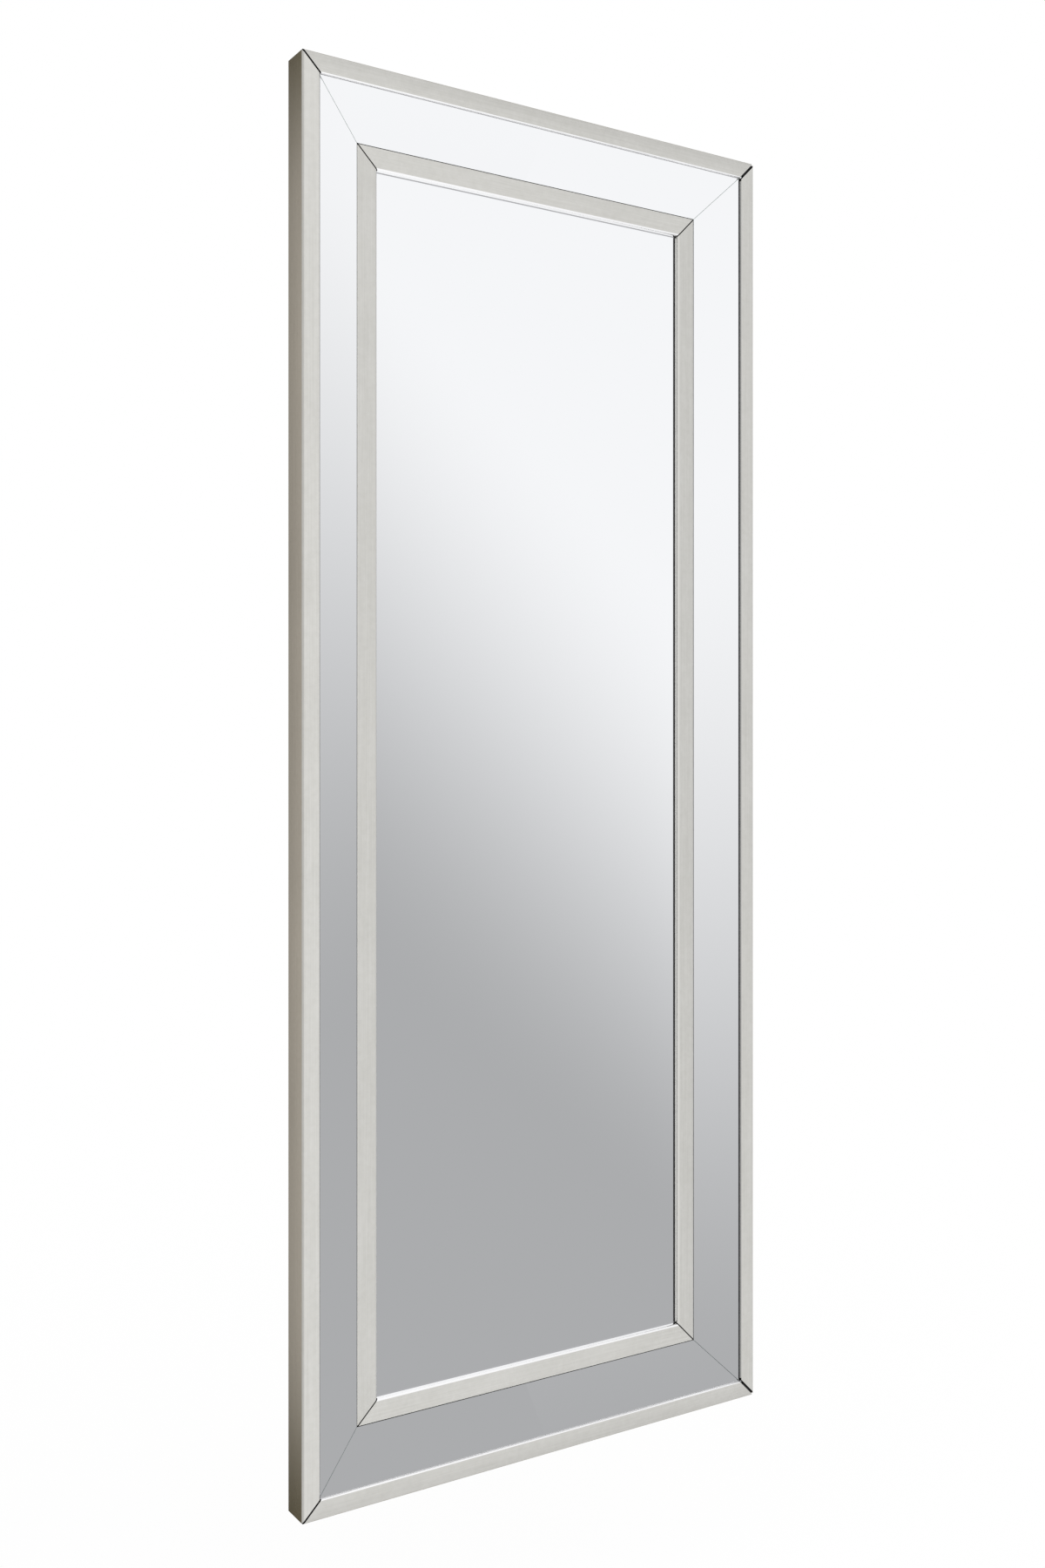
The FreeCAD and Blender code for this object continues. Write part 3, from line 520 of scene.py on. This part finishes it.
@dataclass(frozen=True)
class MouldedPiece:
    """Plain moulded or foamed material: tape, shims and rubber."""

    name: str
    pale: Colour
    deep: Colour
    grit_scale: float = 900.0
    gloss: Span = (0.5, 0.7)
    relief_strength: float = 0.2
    relief_depth: float = 0.1 * MILLIMETRE

    def material(self) -> bpy.types.Material:
        """Build the finish: a fine grit in colour, gloss and relief.

        Returns:
            The new material.
        """
        material = bpy.data.materials.new(self.name)
        sheet = ShaderSheet(material)
        grit = sheet.noise(sheet.place(), self.grit_scale, detail=4.0, roughness=0.6)
        sheet.surface({
            "Base Color": sheet.mix(sheet.spread(grit, 0.0, 1.0), self.deep, self.pale),
            "Roughness": sheet.spread(grit, *self.gloss),
            "Normal": sheet.relief(grit, self.relief_strength, self.relief_depth),
        })
        return material


@dataclass(frozen=True)
class PlatedSteel:
    """Zinc plated steel: bright, a little blue, with a fine spangle and handling marks."""

    name: str
    pale: Colour = shown(206, 209, 214)
    deep: Colour = shown(178, 181, 186)
    spangle_scale: float = 420.0
    spangle_share: float = 0.25
    cloud_size: float = 4.0
    pattern_span: Span = (0.4, 0.8)
    gloss: Span = (0.22, 0.42)
    relief_strength: float = 0.08
    relief_depth: float = 0.05 * MILLIMETRE

    def material(self) -> bpy.types.Material:
        """Build the finish: cell like spangle in the tone, cloudy gloss and a faint relief.

        Returns:
            The new material.
        """
        material = bpy.data.materials.new(self.name)
        sheet = ShaderSheet(material)
        where = sheet.place()
        cells = sheet.add("ShaderNodeTexVoronoi", {"Vector": where, "Scale": self.spangle_scale})
        clouds = sheet.noise(where, self.spangle_scale / self.cloud_size, detail=4.0, roughness=0.6)
        total = sheet.maths("MULTIPLY_ADD", cells.outputs["Distance"], self.spangle_share, clouds)
        share = sheet.spread(total, 0.0, 1.0, self.pattern_span)
        sheet.surface({
            "Base Color": sheet.mix(share, self.deep, self.pale),
            "Metallic": 1.0,
            "Roughness": sheet.spread(clouds, *self.gloss),
            "Normal": sheet.relief(clouds, self.relief_strength, self.relief_depth),
        })
        return material


def dress(node: str, material: bpy.types.Material) -> None:
    """Give a CAD node its finish.

    Args:
        node: The node's name.
        material: The finish.
    """
    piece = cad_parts[node]
    for slot in piece.material_slots:
        slot.link = "OBJECT"
        slot.material = material
    log.info("dressed %s with %s", node, material.name)


def front_normal(node: str) -> Vector:
    """Return the unit normal of a pane's largest face that looks out of the front."""
    faces = [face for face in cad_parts[node].data.polygons if face.normal.y < -0.5]
    return max(faces, key=lambda face: face.area).normal.copy()


@dataclass
class TrimSet:
    """The outer and inner metal channels on the four rails, and the beads under the outer lips."""

    # Painted light and shade: the rails' tones, the lips, white on level rails and grey on uprights, and
    # the shades are lit and shaded copies of one metal.
    outer_level: BrushedMetal = BrushedMetal(
        "brushed_outer_level", Grain.LEVEL, lip=shown(251, 251, 252), pale=shown(215, 214, 210),
        deep=shown(200, 199, 194), rim_shade=0.89, rear_shade=0.8)
    inner_level: BrushedMetal = BrushedMetal(
        "brushed_inner_level", Grain.LEVEL, lip=shown(251, 251, 252), pale=shown(217, 216, 212),
        deep=shown(202, 201, 196), sawn=shown(36, 36, 34), mitre_painted_shadow=0.98 * MILLIMETRE)
    outer_left: BrushedMetal = BrushedMetal(
        "brushed_outer_left", Grain.UPRIGHT, lip=shown(150, 150, 148), rear_shade=0.8, corner_shade=0.72,
        lip_end_painted_shadow=24.5 * MILLIMETRE)
    outer_right: BrushedMetal = BrushedMetal(
        "brushed_outer_right", Grain.UPRIGHT, lip=shown(156, 156, 154), pale=shown(214, 213, 209),
        deep=shown(200, 199, 194), sawn=shown(12, 12, 12), rear_shade=0.8, corner_shade=0.95,
        lip_end_painted_shadow=24.5 * MILLIMETRE, mitre_painted_shadow=2.9 * MILLIMETRE)
    inner_upright: BrushedMetal = BrushedMetal(
        "brushed_inner_upright", Grain.UPRIGHT, lip=shown(212, 211, 207), pale=shown(212, 211, 207),
        deep=shown(198, 197, 192), sawn=shown(36, 36, 34), lip_gloss=0.3, mitre_painted_shadow=0.98 * MILLIMETRE)
    # One rubber bead in two painted copies: a dark shaded one on the uprights and a pale lit one on the
    # level rails.
    shaded_upright_bead: MouldedPiece = MouldedPiece("shaded_upright_bead_rubber", shown(44, 44, 46), shown(30, 30, 32))
    lit_level_bead: MouldedPiece = MouldedPiece("lit_level_bead_rubber", shown(240, 240, 241), shown(228, 228, 230))

    def dress(self) -> None:
        """Brush each channel along its own rail and finish the beads."""
        level = (self.outer_level.material(), self.inner_level.material(), self.lit_level_bead.material())
        inner_upright = self.inner_upright.material()
        shaded_upright_bead = self.shaded_upright_bead.material()
        finishes = {
            Side.TOP: level,
            Side.BOTTOM: level,
            Side.LEFT: (self.outer_left.material(), inner_upright, shaded_upright_bead),
            Side.RIGHT: (self.outer_right.material(), inner_upright, shaded_upright_bead),
        }
        for side, (outer, inner, bead) in finishes.items():
            dress(f"outer_trim_{side.value}", outer)
            dress(f"inner_trim_{side.value}", inner)
            dress(f"glazing_bead_{side.value}", bead)


@dataclass
class MirrorPanes:
    """The sunk centre mirror and the four sloping border strips."""

    centre: str = "centre_mirror"
    border: str = "border_mirror"

    def dress(self) -> None:
        """Silver the face of each pane and leave its edges ground."""
        panes = [self.centre] + [f"{self.border}_{side.value}" for side in Side]
        for pane in panes:
            dress(pane, SilveredGlass(f"silvered_{pane}", front_normal(pane)).material())


@dataclass
class WoodFrame:
    """The MDF rails with their biscuits, tapes, setting blocks and back board."""

    # The rails' black sealer coat also paints the shade in the gaps between the trims.
    rail: PressedBoard = PressedBoard("raw_mdf", shown(176, 144, 106), shown(146, 115, 80), 1500.0,
                                      seal_and_gap_shade=shown(26, 26, 28))
    board: PressedBoard = PressedBoard("hardboard", shown(134, 96, 62), shown(104, 72, 45), 900.0,
                                       gloss=(0.42, 0.62))
    biscuit: PressedBoard = PressedBoard("beech", shown(206, 172, 128), shown(182, 146, 104), 700.0)
    tape: MouldedPiece = MouldedPiece("foam_tape", shown(236, 236, 232), shown(220, 220, 216))
    shim: MouldedPiece = MouldedPiece("shim_plastic", shown(66, 66, 69), shown(50, 50, 53))

    def dress(self) -> None:
        """Give the wooden frame and its fixings their finishes."""
        rail = self.rail.material()
        tape = self.tape.material()
        biscuit = self.biscuit.material()
        for side in Side:
            dress(f"frame_rail_{side.value}", rail)
            dress(f"mirror_tape_{side.value}", tape)
        for corner in Corner:
            dress(f"mitre_biscuit_{corner.value}", biscuit)
        dress("setting_blocks", self.shim.material())
        dress("back_board", self.board.material())


@dataclass(frozen=True)
class PanHeadScrew:
    """A pan head wood screw with a cross recess, in millimetres, point down along Z.

    The sizes from the waist on are shares: of the shank's width, of the head's height or of its width.
    """

    name: str
    head: float
    head_height: float
    shank: float
    length: float
    thread_pitch: float
    facets: int = 24
    rim_steps: int = 4
    smooth_degrees: float = 40.0
    slack: float = 0.01
    thread_waist: float = 0.78
    point_width: float = 0.06
    rim_round: float = 0.62
    recess_long: float = 0.56
    recess_wide: float = 0.13
    recess_deep: float = 1.3
    recess_taper: float = 0.6

    def model(self) -> bpy.types.Object:
        """Model the screw with its head's underside at the origin.

        Returns:
            The finished screw.
        """
        bpy.ops.object.select_all(action="DESELECT")
        bpy.ops.mesh.primitive_cylinder_add(vertices=self.facets, radius=self.head / 2 * MILLIMETRE,
                                            depth=self.head_height * MILLIMETRE,
                                            location=(0.0, 0.0, self.head_height / 2 * MILLIMETRE))
        screw = bpy.context.object
        screw.name = self.name
        bpy.ops.object.transform_apply(location=True, rotation=True, scale=True)
        self.draw_shank(screw)
        self.round_head(screw)
        self.cut_recess(screw)
        bpy.ops.object.shade_smooth_by_angle(angle=math.radians(self.smooth_degrees))
        return screw

    def draw_shank(self, screw: bpy.types.Object) -> None:
        """Draw the threaded shank and its point out of the head's underside.

        Args:
            screw: The head as a plain cylinder.
        """
        select_faces(screw, looks_down)
        bpy.ops.object.mode_set(mode="EDIT")
        bpy.ops.mesh.inset(thickness=(self.head - self.shank) / 2 * MILLIMETRE)
        draw_out(-self.thread_pitch, 1.0)
        turns = int((self.length - self.shank - self.thread_pitch) / self.thread_pitch)
        for _ in range(turns):
            draw_out(-self.thread_pitch / 2, self.thread_waist)
            draw_out(-self.thread_pitch / 2, 1 / self.thread_waist)
        draw_out(-(self.length - self.thread_pitch * (turns + 1)), self.point_width)
        bpy.ops.object.mode_set(mode="OBJECT")

    def round_head(self, screw: bpy.types.Object) -> None:
        """Round the rim of the head's top.

        Args:
            screw: The head with its shank.
        """
        top = (self.head_height - self.slack) * MILLIMETRE
        width = self.rim_round * self.head_height * MILLIMETRE
        corners = screw.data.vertices
        select_edges(screw, lambda edge: all(corners[end].co.z > top for end in edge.vertices))
        bpy.ops.object.mode_set(mode="EDIT")
        bpy.ops.mesh.bevel(offset=width, segments=self.rim_steps, affect="EDGES")
        bpy.ops.object.mode_set(mode="OBJECT")

    def cut_recess(self, screw: bpy.types.Object) -> None:
        """Cut a tapered cross into the head's top.

        Args:
            screw: The screw with its rounded head.
        """
        arms = ((self.recess_long, self.recess_wide), (self.recess_wide, self.recess_long))
        for length, width in arms:
            bpy.ops.object.select_all(action="DESELECT")
            bpy.ops.mesh.primitive_cube_add(size=1.0, location=(0.0, 0.0, self.head_height * MILLIMETRE))
            cutter = bpy.context.object
            cutter.scale = (length * self.head * MILLIMETRE, width * self.head * MILLIMETRE,
                            self.recess_deep * self.head_height * MILLIMETRE)
            bpy.ops.object.transform_apply(location=True, rotation=True, scale=True)
            select_faces(cutter, looks_down)
            bpy.ops.object.mode_set(mode="EDIT")
            bpy.ops.transform.resize(value=(self.recess_taper, self.recess_taper, 1.0))
            bpy.ops.object.mode_set(mode="OBJECT")
            bpy.ops.object.select_all(action="DESELECT")
            bpy.context.view_layer.objects.active = screw
            screw.select_set(True)
            cut = screw.modifiers.new("recess", "BOOLEAN")
            cut.operation = "DIFFERENCE"
            cut.solver = "EXACT"
            cut.object = cutter
            bpy.ops.object.modifier_apply(modifier=cut.name)
            bpy.data.objects.remove(cutter, do_unlink=True)


def looks_down(face: bpy.types.MeshPolygon) -> bool:
    """Tell whether a face looks down along Z."""
    return face.normal.z < -0.9


def select_faces(piece: bpy.types.Object, wanted: Callable[[bpy.types.MeshPolygon], bool]) -> None:
    """Select the faces of a piece that pass a test, ready for edit mode.

    Args:
        piece: The piece.
        wanted: The test.
    """
    start_selection(piece, "FACE")
    for face in piece.data.polygons:
        face.select = wanted(face)


def select_edges(piece: bpy.types.Object, wanted: Callable[[bpy.types.MeshEdge], bool]) -> None:
    """Select the edges of a piece that pass a test, ready for edit mode.

    Args:
        piece: The piece.
        wanted: The test.
    """
    start_selection(piece, "EDGE")
    for edge in piece.data.edges:
        edge.select = wanted(edge)


def start_selection(piece: bpy.types.Object, kind: str) -> None:
    """Make a piece the active one and clear what is selected on it.

    Args:
        piece: The piece.
        kind: FACE or EDGE, what edit mode will select.
    """
    bpy.ops.object.select_all(action="DESELECT")
    bpy.context.view_layer.objects.active = piece
    piece.select_set(True)
    bpy.ops.object.mode_set(mode="EDIT")
    bpy.ops.mesh.select_mode(type=kind)
    bpy.ops.mesh.select_all(action="DESELECT")
    bpy.ops.object.mode_set(mode="OBJECT")


def draw_out(rise: float, taper: float) -> None:
    """Extrude the selected face along Z by a rise in millimetres, and scale its new end."""
    bpy.ops.mesh.extrude_region_move(TRANSFORM_OT_translate={"value": (0.0, 0.0, rise * MILLIMETRE)})
    bpy.ops.transform.resize(value=(taper, taper, 1.0))


@dataclass
class ScrewGroup:
    """Equal screws that fasten one kind of piece, in place of their plain CAD solids."""

    node: str
    screw: PanHeadScrew
    turn_step: float

    def places(self) -> list[Vector]:
        """Find where each head bears.

        Returns:
            The middle of each head's underside, from the CAD solids.
        """
        reach = self.screw.head * MILLIMETRE
        clusters: list[list[Vector]] = []
        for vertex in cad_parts[self.node].data.vertices:
            spot = vertex.co
            home = next((found for found in clusters
                         if abs(found[0].x - spot.x) < reach and abs(found[0].z - spot.z) < reach), None)
            if home is None:
                clusters.append([spot])
            else:
                home.append(spot)
        middles = []
        for found in clusters:
            across = [spot.x for spot in found]
            up = [spot.z for spot in found]
            bearing = max(spot.y for spot in found) - self.screw.head_height * MILLIMETRE
            middles.append(Vector(((min(across) + max(across)) / 2, bearing, (min(up) + max(up)) / 2)))
        return middles

    def build(self, pattern: bpy.types.Object, material: bpy.types.Material) -> bpy.types.Object:
        """Copy the screw to every place and join the copies.

        Args:
            pattern: The modelled screw.
            material: Its finish.

        Returns:
            The group as one piece.
        """
        copies = []
        for number, spot in enumerate(self.places()):
            copy = pattern.copy()
            copy.data = pattern.data.copy()
            bpy.context.scene.collection.objects.link(copy)
            copy.rotation_euler = (-math.pi / 2, math.radians(number * self.turn_step), 0.0)
            copy.location = spot
            copies.append(copy)
        bpy.ops.object.select_all(action="DESELECT")
        for copy in copies:
            copy.select_set(True)
        bpy.context.view_layer.objects.active = copies[0]
        bpy.ops.object.transform_apply(location=True, rotation=True, scale=True)
        bpy.ops.object.join()
        group = bpy.context.object
        group.name = f"cross_{self.node}"
        group.data.materials.clear()
        group.data.materials.append(material)
        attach(group, "mirror")
        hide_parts(self.node)
        log.info("modelled %s: %d screws", group.name, len(copies))
        return group


@dataclass
class BackHardware:
    """Corner plates, hanger straps and rings, wall bumpers and the screws."""

    steel: PlatedSteel = PlatedSteel("plated_steel")
    rubber: MouldedPiece = MouldedPiece("bumper_rubber", shown(62, 62, 64), shown(46, 46, 48))
    wood_screw: PanHeadScrew = PanHeadScrew("wood_screw", 7.5, 2.3, 4.0, 16.0, 1.6)
    panel_screw: PanHeadScrew = PanHeadScrew("panel_screw", 5.6, 1.7, 3.0, 10.0, 1.3)

    def dress(self) -> None:
        """Give the plates, straps, rings and bumpers their finishes and drive the screws."""
        steel = self.steel.material()
        rubber = self.rubber.material()
        for corner in Corner:
            dress(f"corner_plate_{corner.value}", steel)
            dress(f"wall_bumper_{corner.value}", rubber)
        for side in (Side.LEFT, Side.RIGHT):
            dress(f"hanger_strap_{side.value}", steel)
            dress(f"hanger_ring_{side.value}", steel)
        self.drive(self.wood_screw, {"corner_plate_screws": 37.0, "hanger_screws": 61.0}, steel)
        self.drive(self.panel_screw, {"back_board_screws": 43.0, "trim_screws": 29.0}, steel)

    def drive(self, screw: PanHeadScrew, groups: dict[str, float], steel: bpy.types.Material) -> None:
        """Model one screw and copy it to the groups that use it.

        Args:
            screw: The kind of screw.
            groups: CAD nodes of the groups, with how many degrees each recess is turned from the last.
            steel: The screws' finish.
        """
        pattern = screw.model()
        for node, turn_step in groups.items():
            ScrewGroup(node, screw, turn_step).build(pattern, steel)
        bpy.data.objects.remove(pattern, do_unlink=True)


@dataclass
class PhotoCamera:
    """The photograph's viewpoint: level, turned to the right, close to the mirror."""

    place: Place = (-0.97688, -1.51464, 0.04409)
    turn_degrees: float = 32.583
    focal_pixels: float = 1817.75
    horizon_pixel: float = 853.11
    image_height: float = 1800.0
    sensor: float = 36.0
    clip: Span = (0.05, 100.0)

    def build(self) -> bpy.types.Object:
        """Add the camera and make it the scene's own.

        Returns:
            The camera object.
        """
        data = bpy.data.cameras.new("photo_camera")
        data.sensor_width = self.sensor
        data.lens = self.focal_pixels / self.image_height * self.sensor
        data.shift_y = (self.horizon_pixel - self.image_height / 2) / self.image_height
        data.clip_start, data.clip_end = self.clip
        camera = bpy.data.objects.new("photo_camera", data)
        camera.location = self.place
        camera.rotation_euler = (math.pi / 2, 0.0, -math.radians(self.turn_degrees))
        bpy.context.scene.collection.objects.link(camera)
        bpy.context.scene.camera = camera
        log.info("camera set at %s", self.place)
        return camera


@dataclass(frozen=True)
class CardBand:
    """One upright band of a graded card, in metres."""

    start: float
    slant: float
    grey_below: float
    white_above: float


@dataclass(frozen=True)
class GradedCard:
    """A white to grey card before the mirror, which only the silvered faces see."""

    name: str
    distance: float
    width: float
    height: float
    bands: tuple[CardBand, ...]
    white: Colour = (0.956, 0.960, 0.973)
    grey: Colour = (0.426, 0.430, 0.438)

    def white_share(self, sheet: ShaderSheet) -> Socket:
        """Grade the card from grey to white, band by band.

        Args:
            sheet: The card's nodes.

        Returns:
            The share of white.
        """
        lies = sheet.axes(sheet.place())
        total = 0.0
        for band in self.bands:
            height = sheet.maths("MULTIPLY_ADD", lies["X"], band.slant, lies["Z"])
            share = sheet.spread(height, 0.0, 1.0, (band.grey_below, band.white_above), "SMOOTHSTEP")
            total = sheet.mix_value(sheet.maths("GREATER_THAN", lies["X"], band.start), total, share)
        return total

    def material(self) -> bpy.types.Material:
        """Build the card's glow, which shows only in the first reflection.

        Returns:
            The new material.
        """
        material = bpy.data.materials.new(f"{self.name}_white_to_grey")
        sheet = ShaderSheet(material)
        ray = sheet.add("ShaderNodeLightPath").outputs
        first = sheet.maths("LESS_THAN", ray["Ray Depth"], 1.5)
        seen = sheet.maths("MULTIPLY", first, ray["Is Singular Ray"])
        clear = sheet.add("ShaderNodeBsdfTransparent").outputs["BSDF"]
        sheet.glowing(seen, clear, sheet.mix(self.white_share(sheet), self.grey, self.white), 1.0)
        return material

    def build(self) -> bpy.types.Object:
        """Stand the card before the mirror.

        Returns:
            The card.
        """
        bpy.ops.object.select_all(action="DESELECT")
        bpy.ops.mesh.primitive_plane_add(size=1.0, rotation=(math.pi / 2, 0.0, 0.0),
                                         location=(0.0, self.distance, 0.0))
        card = bpy.context.object
        card.name = self.name
        card.scale = (self.width, self.height, 1.0)
        bpy.ops.object.transform_apply(location=True, rotation=True, scale=True)
        card.data.materials.append(self.material())
        card.visible_camera = False
        card.visible_diffuse = False
        card.visible_transmission = False
        card.visible_shadow = False
        log.info("stood %s before the mirror", self.name)
        return card


@dataclass
class Studio:
    """White surroundings, a pale floor and the graded cards that the mirrors reflect.

    Metal and glass see more than plain white: a dim rear wall, and grey or dark screens in reflections of
    reflections. Their spans are where a ray's direction fades from one to the other, along the axis or
    the height that each is named for.
    """

    floor_height: float = -1.0
    floor_size: float = 16.0
    floor_white: float = 0.88
    floor_matt: float = 0.8
    white: Colour = (1.0, 1.0, 1.0)
    near: Colour = (1.05, 1.05, 1.05)
    pale: Colour = (0.92, 0.92, 0.925)
    pale_x: Span = (0.36, 0.62)
    rear_middle: Colour = (0.49, 0.45, 0.395)
    rear_ends: Colour = (0.05, 0.036, 0.0)
    rear_rise: float = 0.015
    rear_ends_height: Span = (0.35, 0.42)
    rear_fade_height: Span = (0.62, 0.74)
    rear_ends_x: Span = (-0.28, -0.12)
    rear_left_x: Span = (-0.6, -0.3)
    rear_left_y: Span = (-0.35, 0.7)
    rear_right_y: Span = (0.02, 0.3)
    patch_scale: float = 5.0
    patch_stretch: Place = (1.0, 1.0, 2.0)
    patch_shade: Span = (0.88, 1.12)
    grey: Colour = (0.46, 0.46, 0.47)
    grey_side_x: Span = (0.80, 0.95)
    dark: Colour = (0.05, 0.05, 0.053)
    dark_x: Span = (-0.2, 0.0)
    dark_y: Span = (-0.5, -0.3)
    cards: tuple[GradedCard, ...] = (
        GradedCard("border_card", -0.0405, 2.4, 3.0, (CardBand(-1.2, 0.0, -0.2805, 0.7528),
                                                      CardBand(0.0, 0.0, -0.791, 0.3866))),
        GradedCard("centre_card", -0.0165, 0.412, 1.312, (CardBand(-1.2, 0.8603, -0.3805, 0.3997),)),
    )

    def rear_wall(self, sheet: ShaderSheet, where: Socket, ray: dict[str, Socket]) -> Socket:
        """Make the dim, patchy wall behind the mirror, with dark ends above and below on its left.

        Args:
            sheet: The world's nodes.
            where: The ray's direction.
            ray: Its X, Y and Z.

        Returns:
            The wall's colour.
        """
        height = sheet.maths("ABSOLUTE", sheet.maths("ADD", ray["Z"], self.rear_rise))
        ends = sheet.chain("MULTIPLY",
                           sheet.spread(height, 0.0, 1.0, self.rear_ends_height),
                           sheet.spread(height, 1.0, 0.0, self.rear_fade_height),
                           sheet.spread(ray["X"], 1.0, 0.0, self.rear_ends_x))
        stretched = sheet.add("ShaderNodeMapping", {"Vector": where, "Scale": self.patch_stretch})
        patches = sheet.noise(stretched.outputs["Vector"], self.patch_scale, detail=2.0)
        shades = (scaled(self.rear_middle, shade) for shade in self.patch_shade)
        middle = sheet.mix(sheet.spread(patches, 0.0, 1.0), *shades)
        return sheet.mix(ends, middle, self.rear_ends)

    def surroundings(self, sheet: ShaderSheet) -> Socket:
        """Make what metal and glass see, by the ray's direction and how often it was reflected.

        Args:
            sheet: The world's nodes.

        Returns:
            The colour.
        """
        where = sheet.add("ShaderNodeTexCoord").outputs["Generated"]
        ray = sheet.axes(where)
        path = sheet.add("ShaderNodeLightPath").outputs
        front = sheet.mix(sheet.spread(ray["X"], 0.0, 1.0, self.pale_x), self.near, self.pale)
        behind = sheet.mix_value(sheet.spread(ray["X"], 1.0, 0.0, self.rear_left_x),
                                 sheet.spread(ray["Y"], 0.0, 1.0, self.rear_right_y),
                                 sheet.spread(ray["Y"], 0.0, 1.0, self.rear_left_y))
        around = sheet.mix(behind, front, self.rear_wall(sheet, where, ray))

        again = sheet.maths("GREATER_THAN", path["Ray Depth"], 2.5)
        satin = sheet.maths("SUBTRACT", 1.0, path["Is Singular Ray"])
        mirrored = sheet.maths("MULTIPLY", again, satin)
        screen = sheet.chain("MULTIPLY", mirrored,
                             sheet.spread(ray["X"], 1.0, 0.0, self.dark_x),
                             sheet.spread(ray["Y"], 1.0, 0.0, self.dark_y))
        screened = sheet.mix(screen, sheet.mix(mirrored, around, self.grey), self.dark)
        sideways = sheet.spread(sheet.maths("ABSOLUTE", ray["X"]), 0.0, 1.0, self.grey_side_x)
        beside = sheet.chain("MULTIPLY", sideways, path["Is Singular Ray"], again)
        return sheet.mix(beside, screened, self.grey)

    def world(self) -> None:
        """Surround the scene with plain white for all rays but those that metal and glass reflect."""
        world = bpy.data.worlds.new("studio_world")
        world.cycles.sampling_method = "NONE"
        bpy.context.scene.world = world
        sheet = ShaderSheet(world)
        glossy = sheet.add("ShaderNodeLightPath").outputs["Is Glossy Ray"]
        sky = sheet.mix(glossy, self.white, self.surroundings(sheet))
        light = sheet.add("ShaderNodeBackground", {"Color": sky, "Strength": 1.0}).outputs["Background"]
        sheet.add("ShaderNodeOutputWorld", {"Surface": light})
        log.info("studio world set")

    def floor(self) -> bpy.types.Object:
        """Lay a pale floor below the hung mirror, white to the camera but for a faint shadow.

        Returns:
            The floor.
        """
        bpy.ops.object.select_all(action="DESELECT")
        bpy.ops.mesh.primitive_plane_add(size=self.floor_size, location=(0.0, 0.0, self.floor_height))
        floor = bpy.context.object
        floor.name = "studio_floor"
        material = bpy.data.materials.new("pale_floor")
        sheet = ShaderSheet(material)
        camera = sheet.add("ShaderNodeLightPath").outputs["Is Camera Ray"]
        share = sheet.maths("MULTIPLY", camera, self.floor_white)
        matt = sheet.add("ShaderNodeBsdfDiffuse", {"Color": scaled(self.white, self.floor_matt)})
        rest = 1.0 - (1.0 - self.floor_white) * self.floor_matt
        sheet.glowing(share, matt.outputs["BSDF"], self.white, rest / self.floor_white)
        floor.data.materials.append(material)
        floor.visible_glossy = False
        log.info("floor laid")
        return floor

    def build(self) -> None:
        """Set the view transform, the world, the floor and the cards."""
        bpy.context.scene.view_settings.view_transform = "Standard"
        self.world()
        self.floor()
        for card in self.cards:
            card.build()


def main() -> None:
    """Build the camera and studio and dress each sub-assembly of the mirror."""
    logging.basicConfig(level=logging.INFO, format="%(name)s: %(message)s")
    PhotoCamera().build()
    Studio().build()
    TrimSet().dress()
    MirrorPanes().dress()
    WoodFrame().dress()
    BackHardware().dress()


if __name__ == "__main__":
    main()
